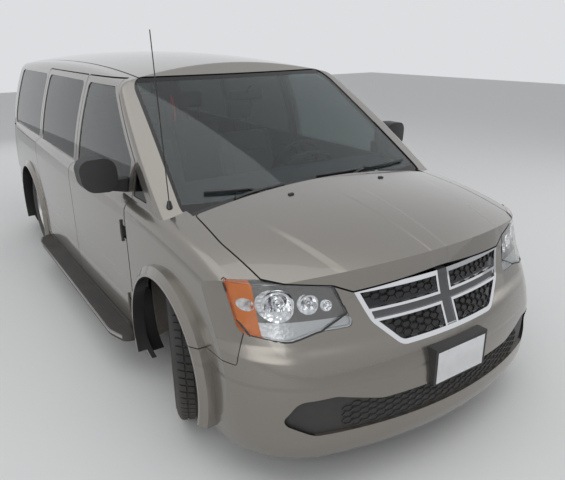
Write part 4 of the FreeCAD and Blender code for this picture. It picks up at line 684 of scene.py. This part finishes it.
def repeated(name, template_mesh, matrices, material, body):
    """The template at every matrix, made by the node group and kept as one plain mesh."""
    template = bpy.data.objects.new(f"{name}_template", template_mesh)
    holder_mesh = plain_mesh(f"{name}_points", [matrix.to_translation() for matrix in matrices], [])
    angles = holder_mesh.attributes.new("turn", "FLOAT_VECTOR", "POINT")
    for k, matrix in enumerate(matrices):
        angles.data[k].vector = matrix.to_euler()
    holder = bpy.data.objects.new(f"{name}_holder", holder_mesh)
    for thing in (template, holder):
        scene.collection.objects.link(thing)
    modifier = holder.modifiers.new("set", "NODES")
    modifier.node_group = setter
    modifier[set_sockets["Template"].identifier] = template
    modifier[set_sockets["Finish"].identifier] = material
    mesh = evaluated(holder)
    for thing in (template, holder):
        bpy.data.objects.remove(thing)
    return new_piece(name, mesh, material, body)


print("helpers ready")

# %% [markdown]
# ## Grille
# Behind the bright cross lies a honeycomb of flattened cells. The cells follow the curve of the dark
# plate that closes each opening, and stand a few millimetres in front of it.

# %% Honeycomb in the grille and in the lower intake
CELL_W, CELL_H = 0.052, 0.030
CELL_WALL, CELL_DEPTH = 0.0035, 0.007
COLUMN_STEP = CELL_W * 0.75
CELL_CORNERS = [(dx, dz) for dx in (-0.021, 0.021) for dz in (-0.012, 0.012)]
DEEPEST_STEP = 0.03  # a cell whose corners lie further apart than this would hang over an edge


def cell_ring(width, height, wall, depth):
    """One flattened six-sided cell: an open ring with a rounded front edge."""
    outer = [(width / 2 * math.cos(t), height / 2 * math.sin(t) / math.sin(math.pi / 3)) for t in turns(6)]
    inner_scale = (1 - 2 * wall / width, 1 - 2 * wall / height)
    rings = ((1.0, 1.0, 0.0), (1.0, 1.0, depth * 0.7), (1 - wall / width, 1 - wall / height, depth),
        (*inner_scale, depth * 0.7), (*inner_scale, 0.0))
    verts = [(x * sx, y * sy, h) for sx, sy, h in rings for x, y in outer]
    return plain_mesh("cell", verts, ring_faces(len(rings), len(outer)))


def honeycomb(name, node, low, high, material, half_width):
    """Cells over a node's front, between two heights."""
    surface = surface_of(node)
    spots = []
    columns = int(half_width / COLUMN_STEP) + 1
    rows = int((high - low) / CELL_H) + 1
    for i in range(-columns, columns + 1):
        for j in range(rows):
            x = i * COLUMN_STEP
            z = low + j * CELL_H + (CELL_H / 2 if i % 2 else 0)
            corners = [ahead(surface, x + dx, z + dz)[0] for dx, dz in CELL_CORNERS]
            place, normal = ahead(surface, x, z)
            if place is None or None in corners:
                continue
            if max(c.y for c in corners) - min(c.y for c in corners) <= DEEPEST_STEP:
                spots.append(frame_at(place, normal))
    cell = cell_ring(CELL_W, CELL_H, CELL_WALL, CELL_DEPTH)
    return repeated(name, cell, spots, material, "van")


honeycomb("grille_cells", "grille_mesh", 0.645, 0.90, gloss_black, 0.46)
honeycomb("intake_cells", "intake_grille", 0.325, 0.44, black_trim, 0.52)

# %% [markdown]
# ## Lamps
# Each headlamp housing has its bowls in the CAD. A bulb and a bright ring stand in each bowl, and the
# finish of the housing turns from mirror in the bowls to grey on the bezel and amber at the outer end.

# %% Bulbs and rings
# Radius as a share of the bowl's, and height.
BULB = ((0.0, 0.024), (0.16, 0.021), (0.22, 0.012), (0.20, 0.0), (0.30, -0.002), (0.30, -0.010))
RING = ((0.94, 0.0), (0.97, 0.004), (1.05, 0.005), (1.09, 0.001), (1.09, -0.003))
lens_surface = surface_of("headlamp_lenses")
bulbs, rings = [], []
for sign in (-1, 1):
    for x, z, radius in BOWLS:
        place, normal = ahead(lens_surface, sign * x, z)
        if place is None:
            continue
        level_out = Vector((normal.x, normal.y, 0)).normalized()
        for made, profile, depth, count in ((bulbs, BULB, 0.040, 20), (rings, RING, 0.021, 44)):
            seat = frame_at(place - level_out * depth, level_out)
            made.append(lathe([(max(radius * share, 0.0001), height) for share, height in profile], seat, count))
new_piece("lamp_bulbs", bulbs, lens_glass, "van")
new_piece("lamp_bowl_rings", rings, chrome, "van")

# %% [markdown]
# ## Wipers, washer jets and number plate
# Two wipers park along the foot of the windscreen. The plate is blank.

# %% Wipers
BLADE_SECTION = mm((-6, -5), (6, -5), (7.5, 2), (3, 9), (-3, 9), (-7.5, 2))
ARM_SECTION = mm((-7, -3), (7, -3), (5.5, 4), (-5.5, 4))
screen_surface = surface_of("windshield", "cowl_panel")


def line_on(surface_ray, surface, from_x, to_x, from_z, to_z, count):
    """(place, normal) spots of a surface along a straight line seen from ahead or from behind."""
    return [surface_ray(surface, x, z)
        for x, z in zip(np.linspace(from_x, to_x, count), np.linspace(from_z, to_z, count))]


def wiper(name, pivot_x, tip_x, root_x, pivot_z, low_z, high_z):
    """An arm from its pivot to the middle of a blade that lies along the glass."""
    line = line_on(ahead, screen_surface, root_x, tip_x, low_z, high_z, 15)
    spots = [(place + normal * 0.010, normal) for place, normal in line]
    blade = laid(spots, 0.0, BLADE_SECTION)
    pivot, normal = ahead(screen_surface, pivot_x, pivot_z)
    pivot = pivot + normal * 0.012
    middle, middle_normal = spots[7]
    steps = np.linspace(0, 1, 9)
    arm = swept([pivot.lerp(middle, t) + normal * 0.018 * math.sin(math.pi * min(1, t * 1.02)) ** 0.6
        for t in steps], ARM_SECTION, ups=[normal.lerp(middle_normal, t) for t in steps])
    cap = lathe(mm((0.1, 16), (10, 15.5), (14, 11), (15, -12)), frame_at(pivot, normal), 24)
    saddle = block(frame_at(middle + middle_normal * 0.012, middle_normal), (0.05, 0.014, 0.010), 0.003)
    new_piece(name, [blade, arm, cap, saddle], gloss_black, "van")


wiper("wiper_right", -0.52, 0.12, -0.66, 1.085, 1.118, 1.098)
wiper("wiper_left", 0.18, 0.70, -0.02, 1.098, 1.125, 1.112)

# %% Washer jets on the hood, and the blank plate with its rim and screws
hood_surface = surface_of("hood")
jets = []
for x in (-0.30, 0.30):
    place, normal = struck(hood_surface, (x, -1.72, 2.5), (0, 0, -1))
    jets.append(block(frame_at(place + normal * 0.003, normal), (0.030, 0.018, 0.010), 0.004))
new_piece("washer_jets", jets, black_trim, "hood")

PLATE_Z, PLATE_WIDTH, PLATE_HEIGHT = 0.515, 0.300, 0.150
SCREW_X, SCREW_Z = 0.089, 0.584
plate_low, _ = (Vector(corner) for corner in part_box("plate_holder"))
PLATE_Y = plate_low.y
to_the_front = Matrix(((1, 0, 0), (0, 0, -1), (0, 1, 0))).to_4x4()
plate_turn = Matrix.Translation(Vector((0, PLATE_Y, PLATE_Z)) + Vector((0, -0.0008, 0))) @ to_the_front
plate = block(plate_turn, (PLATE_WIDTH, PLATE_HEIGHT, 0.0014), 0.0006)
rim_points = [Vector((x, PLATE_Y - 0.0013, PLATE_Z + z)) for x, z in mm(
    (-140, -70), (140, -70), (146, -64), (146, 64), (140, 70), (-140, 70), (-146, 64), (-146, -64))]
plate_rim = swept(rim_points, round_section(0.0012, 8), closed=True, ups=[Vector((0, -1, 0))] * 8)
plate_white = plastic("plate_enamel", (0.62, 0.63, 0.64, 1), 0.35, 600, 0.05, 0.3)
new_piece("blank_plate", [plate, plate_rim], plate_white, "van")
screws = [lathe(mm((0.1, 1.8), (5, 1.6), (6.5, 0.6), (6.5, -2)),
    Matrix.Translation((x, PLATE_Y - 0.0012, SCREW_Z)) @ to_the_front, 18) for x in (-SCREW_X, SCREW_X)]
new_piece("plate_screws", screws, chrome, "van")

# %% [markdown]
# ## Tyres and wheels
# A packed tyre is smooth. Each is replaced by one with the same outside size and a real tread: four
# grooves round it, cross cuts that lean on each half, and rims and ribs on the sidewall.

# %% A treaded tyre
TYRE_R, TYRE_HALF, BEAD_R = 0.3618, 0.1122, 0.2162
PITCHES = 62
GROOVE = 0.0075
SIDEWALL = [(-0.1003, BEAD_R), (-0.1085, 0.232), (-0.1110, 0.246), (-0.1100, 0.2475), (-0.1117, 0.262),
    (-TYRE_HALF, 0.280), (-0.1112, 0.300), (-0.1122, 0.3015), (-0.1106, 0.3035), (-0.1060, 0.326),
    (-0.0995, 0.343), (-0.0925, 0.3535)]
# x, radius and kind: 0 stays smooth, 1 is cut across, 2 is a groove all round.
TREAD = [(-0.0850, 0.3585, 1), (-0.0760, 0.3603, 1), (-0.0625, 0.3612, 1), (-0.0615, 0.3612, 2),
    (-0.0545, 0.3613, 2), (-0.0535, 0.3613, 1), (-0.0390, TYRE_R, 1), (-0.0245, TYRE_R, 1), (-0.0235, TYRE_R, 2),
    (-0.0155, TYRE_R, 2), (-0.0145, TYRE_R, 0), (0.0, TYRE_R, 0)]
CUTS = ((0.0, 0), (0.04, 1), (0.17, 1), (0.21, 0), (0.48, 0), (0.74, 0))  # share of a pitch, and cut or not
LEAN = 0.9  # pitches that a cut leans over, from the middle to the shoulder
SPLIT_X = 0.02  # the left half's cuts are half a pitch behind the right half's from here on


def tyre_shape():
    """A tyre about the X axis, from one profile and a leaning pitch pattern."""
    stations = [(x, r, 0) for x, r in SIDEWALL] + TREAD
    stations += [(-x, r, kind) for x, r, kind in reversed(stations[:-1])]
    verts = []
    for pitch in range(PITCHES):
        for share, cut in CUTS:
            for x, r, kind in stations:
                depth = GROOVE if kind == 2 or (kind == 1 and cut) else 0.0
                shift = LEAN * abs(x) / TYRE_HALF
                half_pitch = 0.5 if x > SPLIT_X else 0.0
                turn = math.tau * (pitch + share + shift + half_pitch) / PITCHES
                verts.append((x, (r - depth) * math.cos(turn), (r - depth) * math.sin(turn)))
    faces = ring_faces(PITCHES * len(CUTS), len(stations), closed=True)
    return plain_mesh("tyre", verts, [(a, d, c, b) for a, b, c, d in faces])


# %% Tyres, wheel nuts and centre caps
REST_STEER = math.radians(20)
HUB_FACE, NUT_CIRCLE, NUTS = 0.0565, 0.0635, 5
nut_profile = [(0.0001, 0.012), (0.0075, 0.0115), (0.0102, 0.009), (0.0102, 0.0), (0.013, -0.001)]
for axle in ("front", "rear"):
    for hand, sign in (("left", 1), ("right", -1)):
        low, high = (Vector(corner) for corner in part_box(f"tyre_{axle}_{hand}"))
        middle = (low + high) / 2
        middle.z = AXLE_HEIGHT
        turn = Matrix.Rotation(-REST_STEER if axle == "front" else 0.0, 4, "Z")
        facing_out = Matrix.Rotation(0 if sign > 0 else math.pi, 4, "Z")
        place = Matrix.Translation(middle) @ turn @ facing_out
        tyre = tyre_shape()
        tyre.transform(place)
        body = next(name for name, members in frame["record"]["behaviour"]["bodies"].items()
            if f"tyre_{axle}_{hand}" in members)
        piece = new_piece(f"treaded_tyre_{axle}_{hand}", tyre, rubber, body)
        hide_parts(f"tyre_{axle}_{hand}")
        hub = place @ Matrix.Translation((HUB_FACE, 0, 0)) @ Matrix.Rotation(math.pi / 2, 4, "Y")
        nuts = [hub @ Matrix.Rotation(math.tau * (k + 0.5) / NUTS, 4, "Z") @ Matrix.Translation((NUT_CIRCLE, 0, 0))
            for k in range(NUTS)]
        nut = lathe(nut_profile, Matrix.Identity(4), 6)
        repeated(f"wheel_nuts_{axle}_{hand}", nut, nuts, dark_steel, body)
        cap = lathe(mm((0.1, 14), (20, 13.5), (29, 10), (31, 4), (31, -4)), hub, 36)
        new_piece(f"centre_cap_{axle}_{hand}", cap, alloy, body)
print("tyres", len(tyre.polygons), "faces each")

# %% [markdown]
# ## Outside fittings
# The running boards have ribbed treads and a pale edge strip. The mirrors carry glass in their rear
# faces.

# %% Running board strips and ribs
STRIP = mm((-2, -11), (3, -9), (4, 6), (2, 11.5), (-10, 12), (-10, 10.5), (-2, 10))
OTHER_STRIP = [(-u, v) for u, v in STRIP]
STRIPS = {-1: STRIP, 1: OTHER_STRIP[:1] + OTHER_STRIP[:0:-1]}
OUTER_EDGE = 0.97
board_low, board_high = (Vector(corner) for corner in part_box("running_boards"))
board_surface = surface_of("running_boards")
strips, ribs = [], []
for sign in (-1, 1):
    line = []
    for y in np.linspace(board_low.y + 0.03, board_high.y - 0.03, 60):
        place, _ = struck(board_surface, (sign * 1.6, y, board_high.z - 0.012), (-sign, 0, 0))
        if place is not None and abs(place.x) > OUTER_EDGE:
            line.append(place + Vector((sign * 0.0005, 0, 0)))
    strips.append(swept(line, STRIPS[sign]))
    for inset in (0.030, 0.044, 0.058, 0.072):
        points = [p + Vector((-sign * inset, 0, board_high.z + 0.0006 - p.z)) for p in line[3:-3]]
        ribs.append(swept(points, round_section(0.0030, 8, 0.6)))
new_piece("board_edge_strips", strips, alloy, "van")
new_piece("board_ribs", ribs, black_trim, "van")

# %% Mirror glass
MIRROR_OUTLINE = mm((-62, -52), (70, -46), (78, 30), (60, 56), (-58, 58), (-70, 10))
MIRROR_STEPS = ((0.0, 1.0), (0.0015, 0.99), (0.0022, 0.93))  # how far back, and the outline's scale there
mirror_sheet = metal("mirror_silver", (0.88, 0.89, 0.90, 1), 0.01, 0.03, streak=0.0)
for hand, sign in (("left", 1), ("right", -1)):
    low, high = (Vector(corner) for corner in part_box(f"door_mirror_{hand}"))
    centre = Vector(((high.x if sign > 0 else low.x) - sign * 0.098, high.y, (low.z + high.z) / 2 + 0.012))
    made = bmesh.new()
    rows = [[made.verts.new(centre + Vector((sign * x * shrink, lift, z * shrink))) for x, z in MIRROR_OUTLINE]
        for lift, shrink in MIRROR_STEPS]
    for a, b in zip(rows, rows[1:]):
        for k in range(len(a)):
            following = (k + 1) % len(a)
            made.faces.new((a[k], a[following], b[following], b[k]))
    made.faces.new(rows[-1])
    bmesh.ops.recalc_face_normals(made, faces=made.faces)
    mesh = freed(made, f"mirror_glass_{hand}")
    new_piece(f"mirror_glass_{hand}", mesh, mirror_sheet, "door_" + hand)

# %% [markdown]
# ## Seats
# Each packed seat is a plain solid. Its cushion, back and head rests are replaced with padded pieces: a
# slightly smaller solid is remeshed, swollen by a cloth simulation with a cap on how far a point may
# move, pressed in along its seams and smoothed. A plastic base carries it.

# %% Padded blocks
PAD_CAP = 0.010
INSET = 0.012
VOXEL = 0.011
CLOTH_FRAMES = 20
SEAM_DEPTH, SEAM_WIDTH = 0.005, 0.007


def side_block(outline, x_low, x_high, inset, bevel):
    """A block from a side outline (y, z), between two x places, moved in by inset and rounded."""
    made = bmesh.new()
    middle = sum((Vector(point) for point in outline), Vector((0, 0))) / len(outline)
    ring = [Vector(point) + (middle - Vector(point)).normalized() * inset for point in outline]
    first = [made.verts.new((x_low + inset, y, z)) for y, z in ring]
    second = [made.verts.new((x_high - inset, y, z)) for y, z in ring]
    made.faces.new(first)
    made.faces.new(list(reversed(second)))
    for k in range(len(ring)):
        made.faces.new((first[k], second[k], second[(k + 1) % len(ring)], first[(k + 1) % len(ring)]))
    bmesh.ops.recalc_face_normals(made, faces=made.faces)
    bmesh.ops.bevel(made, geom=made.edges[:], offset=bevel, segments=4, affect="EDGES", profile=0.5)
    return freed(made, "side_block")


def points_of(mesh):
    return np.array([vertex.co[:] for vertex in mesh.vertices])


def swollen(mesh, voxel, cap, channels):
    """The mesh remeshed and swollen as a padded cushion, with sewn channels pressed into it."""
    thing = bpy.data.objects.new("pad", mesh)
    scene.collection.objects.link(thing)
    remesh = thing.modifiers.new("remesh", "REMESH")
    remesh.mode = "VOXEL"
    remesh.voxel_size = voxel
    even = evaluated(thing)
    thing.data = even
    before = points_of(even)
    after = before.copy()
    cloth_modifier = thing.modifiers.new("cloth", "CLOTH")
    settings = cloth_modifier.settings
    settings.quality = 5
    settings.use_pressure = True
    settings.uniform_pressure_force = 4.0
    settings.effector_weights.gravity = 0.0
    cloth_modifier.point_cache.frame_end = CLOTH_FRAMES
    for number in range(1, CLOTH_FRAMES + 1):
        scene.frame_set(number)
    after = points_of(evaluated(thing))
    scene.frame_set(1)
    move = after - before
    reach = np.linalg.norm(move, axis=1, keepdims=True)
    after = before + move * np.minimum(1.0, cap / np.maximum(reach, 1e-9))
    normals = np.array([vertex.normal[:] for vertex in even.vertices])
    for axis, place, depth, width in channels:
        near = np.exp(-((before[:, axis] - place) / width) ** 2)[:, None]
        after -= normals * near * depth
    even.vertices.foreach_set("co", after.ravel())
    smooth = thing.modifiers.new("smooth", "SUBSURF")
    smooth.levels = 1
    result = evaluated(thing)
    bpy.data.objects.remove(thing)
    return result


def seat_shapes(half):
    """Cushion, back and head rest meshes of a seat about x = 0, in the seat's own (y, z)."""
    cushion = side_block(mm((-225, -65), (265, -90), (262, 15), (-245, 38)), -half, half, INSET, 0.035)
    back = side_block(mm((240, -50), (350, -50), (512, 550), (436, 582), (252, 62)),
        -half + 0.008, half - 0.008, INSET, 0.030)
    rest = side_block(mm((460, 635), (526, 645), (554, 782), (490, 794)), -0.122, 0.122, 0.008, 0.024)
    bolsters = [(0, s * (half - 0.085), 0.006, 0.008) for s in (-1, 1)]
    return (swollen(cushion, VOXEL, PAD_CAP, bolsters + [(1, y, SEAM_DEPTH, SEAM_WIDTH) for y in (0.03, 0.15)]),
        swollen(back, VOXEL, PAD_CAP, bolsters + [(2, z, SEAM_DEPTH, SEAM_WIDTH) for z in (0.20, 0.40)]),
        swollen(rest, VOXEL * 0.8, PAD_CAP, []))


def copy_at(mesh, place, squeeze=1.0):
    """A copy of the mesh, made narrower or wider and moved."""
    made = mesh.copy()
    made.transform(Matrix.Diagonal((squeeze, 1, 1, 1)))
    made.transform(Matrix.Translation(place))
    return made


def seat_frame(x, y, floor_z, half, cushion_z, rests):
    """The hard parts: a base under the cushion, rails on the floor and the head rest posts."""
    base_top = cushion_z - 0.075
    made = [block(Matrix.Translation((x, y + 0.035, (floor_z + base_top) / 2)),
        (2 * half - 0.14, 0.38, base_top - floor_z), 0.02)]
    for s in (-1, 1):
        rail = Matrix.Translation((x + s * (half - 0.06), y + 0.03, floor_z + 0.015))
        made.append(block(rail, (0.035, 0.50, 0.026), 0.006))
    for spot in rests:
        for p in (-0.06, 0.06):
            post = [Vector((x + spot + p, y + dy, cushion_z + dz)) for dy, dz in ((0.468, 0.53), (0.496, 0.66))]
            made.append(swept(post, round_section(0.006, 10), ups=[Vector((0, -1, 0))] * 2))
    return joined(made, "seat_frame")


# %% Seat rows
FRONT_HALF, MIDDLE_HALF, BENCH_HALF = 0.260, 0.250, 0.540
ONE_REST, THREE_RESTS = (0.0,), (-0.33, 0.0, 0.33)
front_shapes = seat_shapes(FRONT_HALF)
bench_shapes = seat_shapes(BENCH_HALF)
# Node, shapes and their half width, the seats' own half width, their x and y, floor and cushion height, rests.
ROWS = (
    ("front_seats", front_shapes, FRONT_HALF, FRONT_HALF, (0.400, -0.400), -0.480, 0.300, 0.600, ONE_REST),
    ("middle_seats", front_shapes, FRONT_HALF, MIDDLE_HALF, (0.400, -0.400), 0.420, 0.300, 0.600, ONE_REST),
    ("rear_bench", bench_shapes, BENCH_HALF, BENCH_HALF, (0.0,), 1.390, 0.560, 0.760, THREE_RESTS),
)
for node, shapes, shape_half, half, seat_xs, y, floor_z, cushion_z, rests in ROWS:
    made = []
    for number, x in enumerate(seat_xs, 1):
        stem = f"{node}_{number}"
        for label, shape in zip(("cushion", "back"), shapes):
            mesh = copy_at(shape, (x, y, cushion_z), half / shape_half)
            made.append(new_piece(f"{stem}_{label}", mesh, cloth, "van", 80))
        for index, spot in enumerate(rests, 1):
            mesh = copy_at(shapes[2], (x + spot, y, cushion_z))
            made.append(new_piece(f"{stem}_head_rest_{index}", mesh, cloth, "van", 80))
        mesh = seat_frame(x, y, floor_z, half, cushion_z, rests)
        made.append(new_piece(f"{stem}_frame", mesh, cabin_plastic, "van"))
    for piece in made:
        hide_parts(node)
print("seats made")

# %% [markdown]
# ## Tailgate fittings
# Found by rays from behind: a wiper at the foot of the rear glass, a handle bar over a blank plate, and
# a high brake lamp at the top.

# %% Rear wiper, handle bar, plate and brake lamp
GATE_BAR_Z, REAR_PLATE_Z, HIGH_LAMP_Z = 0.985, 0.860, 1.640
gate_surface = surface_of("liftgate", "liftgate_glass")
spots = line_on(behind, gate_surface, -0.05, 0.34, 1.165, 1.235, 12)
blade = laid(spots, 0.008, mm((-5, -4), (5, -4), (6, 2), (0, 8), (-6, 2)))
root, root_normal = behind(gate_surface, 0.0, 1.090)
middle, _ = spots[6]
arm = swept([root.lerp(middle, t) + root_normal * (0.012 + 0.012 * math.sin(math.pi * t))
    for t in np.linspace(0, 1, 7)], mm((-7, -3), (7, -3), (5, 4), (-5, 4)), ups=[root_normal] * 7)
boss = lathe(mm((0.1, 20), (14, 19), (20, 13), (22, -4)), frame_at(root, root_normal), 28)
new_piece("rear_wiper", [blade, arm, boss], gloss_black, "tailgate")

bar = laid(line_on(behind, gate_surface, -0.33, 0.33, GATE_BAR_Z, GATE_BAR_Z, 17), 0.006,
    mm((-16, -8), (16, -8), (17, 2), (11, 8), (-11, 9), (-17, 2)))
new_piece("gate_handle_bar", bar, chrome, "tailgate")
seat = frame_at(*behind(gate_surface, 0.0, REAR_PLATE_Z))
rear_plate = block(seat @ Matrix.Translation((0, 0, 0.002)), (PLATE_WIDTH, PLATE_HEIGHT, 0.003), 0.0012)
new_piece("rear_plate", [rear_plate], plate_white, "tailgate")
high_lamp = laid(line_on(behind, gate_surface, -0.16, 0.16, HIGH_LAMP_Z, HIGH_LAMP_Z, 9), 0.001,
    mm((-10, -4), (10, -4), (9, 4), (-9, 4)))
new_piece("high_brake_lamp", high_lamp, red_lens, "tailgate")

# %% [markdown]
# ## Cabin
# What shows through the windscreen: a hooded instrument panel, a centre screen and vents, a leather
# grip on the steering wheel with a padded hub, and an inside mirror.

# %% Dashboard details
STEERING_X = 0.39
VENT_CORNERS = mm((-50, -28), (50, -28), (50, 28), (-50, 28))
dash_surface = surface_of("dashboard")
dark_panel = plastic("dark_display", (0.01, 0.012, 0.014, 1), 0.12, 1500, 0.02)


def on_dash(x, z):
    """Where a ray from the seats meets the dashboard."""
    return struck(dash_surface, (x, 0.2, z), (0, -1, 0))


details, panels = [], []
for x, z, width, height in ((0.0, 0.985, 0.20, 0.105), (STEERING_X, 1.045, 0.26, 0.055)):
    place, normal = on_dash(x, z)
    if place is not None:
        panels.append(block(frame_at(place, normal), (width, height, 0.008), 0.003))
for x in (-0.70, -0.16, 0.16, 0.70):
    place, normal = on_dash(x, 0.99)
    if place is None:
        continue
    seat = frame_at(place, normal)
    details.append(swept([seat @ Vector((u, v, 0.002)) for u, v in VENT_CORNERS], round_section(0.004, 8),
        closed=True, ups=[normal] * 4))
    for row in (-0.015, -0.005, 0.005, 0.015):
        details.append(block(seat @ Matrix.Translation((0, row, 0.001)), (0.094, 0.003, 0.006), 0.001, 1))
for z in (0.90, 0.87, 0.84):
    place, normal = on_dash(0.0, z)
    if place is not None:
        details.append(block(frame_at(place, normal), (0.19, 0.016, 0.010), 0.003, 2))
hood_line = [Vector((STEERING_X + 0.17 * math.cos(t), -0.905 - 0.03 * math.sin(t), 1.068 + 0.052 * math.sin(t)))
    for t in np.linspace(0, math.pi, 14)]
details.append(swept(hood_line, mm((-8, -45), (8, -45), (8, 0), (0, 6), (-8, 0)), ups=[Vector((0, 1, 0))] * 14))
new_piece("dash_details", details, cabin_plastic, "van")
new_piece("dash_displays", panels, dark_panel, "van")

# %% Steering wheel grip and inside mirror
RIM_RADIUS = 0.182
COLUMN_TILT = math.radians(25)
leather = plastic("grip_leather", (0.035, 0.034, 0.034, 1), 0.5, 420, 0.6)
wheel_middle = Vector((STEERING_X, -0.77, 1.01))
wheel_place = frame_at(wheel_middle, Vector((0, math.cos(COLUMN_TILT), math.sin(COLUMN_TILT))))
cover = [wheel_place @ Vector((RIM_RADIUS * math.cos(t), RIM_RADIUS * math.sin(t), 0)) for t in turns(64)]
outward = [(point - wheel_middle).normalized() for point in cover]
grip = swept(cover, round_section(0.0148, 14), closed=True, ups=outward)
pad = lathe(mm((0.1, 26), (40, 24), (62, 16), (70, 4), (66, -12)), wheel_place, 40)
new_piece("steering_grip", [grip, pad], leather, "steering_wheel")

header, _ = ahead(surface_of("windshield"), 0.0, 1.56)
stem = swept([header + Vector((0, 0.006, 0)), header + Vector((0, 0.05, -0.035))], round_section(0.007, 10))
mirror_turn = Matrix.Translation(header + Vector((0, 0.062, -0.055))) @ Matrix.Rotation(math.radians(-8), 4, "X")
mirror_case = block(mirror_turn, (0.235, 0.030, 0.062), 0.012)
new_piece("inside_mirror", [stem, mirror_case], black_trim, "van")
print("cabin details")

# %% [markdown]
# ## Lamp gaskets
# A headlamp sits in its opening with a black rubber edge all round, which reads as a thin dark outline.
# The outline is the lamp's own front view, rounded at its corners and laid on the surface by rays. Its
# corners are (x, z, radius).

# %% Black edges round the headlamps
LAMP_OUTLINE = mm((474, 750, 20), (625, 746, 90), (740, 716, 60), (882, 742, 35), (897, 944, 14),
    (772, 948, 60), (533, 914, 12))
GASKET_SECTION = mm((-3.5, -4), (3.5, -4), (3.5, 0.4), (-3.5, 0.4))
CLOSEST = 0.002  # points nearer than this would make a fold


def rounded_outline(corners, steps=6, spacing=0.03):
    """Points along a closed outline of (x, z, radius) corners, with an arc at each corner."""
    arcs = []
    for k, (x, z, radius) in enumerate(corners):
        here = Vector((x, z))
        to_last = (Vector(corners[k - 1][:2]) - here).normalized()
        to_next = (Vector(corners[(k + 1) % len(corners)][:2]) - here).normalized()
        half_angle = to_last.angle(to_next) / 2
        setback = radius / math.tan(half_angle)
        centre = here + (to_last + to_next).normalized() * (radius / math.sin(half_angle))
        start, end = here + to_last * setback - centre, here + to_next * setback - centre
        arcs.append([centre + start.lerp(end, t).normalized() * radius for t in np.linspace(0, 1, steps)])
    points = []
    for k, arc in enumerate(arcs):
        points += arc
        last, following = arc[-1], arcs[(k + 1) % len(arcs)][0]
        count = max(1, round((following - last).length / spacing))
        points += [last.lerp(following, t / count) for t in range(1, count)]
    return points


front_surface = surface_of("headlamp_lenses", "front_fenders", "front_bumper", "hood")
gaskets = []
for side in (-1, 1):
    spots = []
    for point in rounded_outline(LAMP_OUTLINE):
        place, normal = ahead(front_surface, side * point.x, point.y)
        if place is not None and (not spots or (place - spots[-1][0]).length > CLOSEST):
            spots.append((place, normal))
    gaskets.append(swept([place for place, _ in spots], GASKET_SECTION, closed=True, ups=[up for _, up in spots]))
new_piece("lamp_gaskets", gaskets, black_trim, "van")
print("lamp edges")
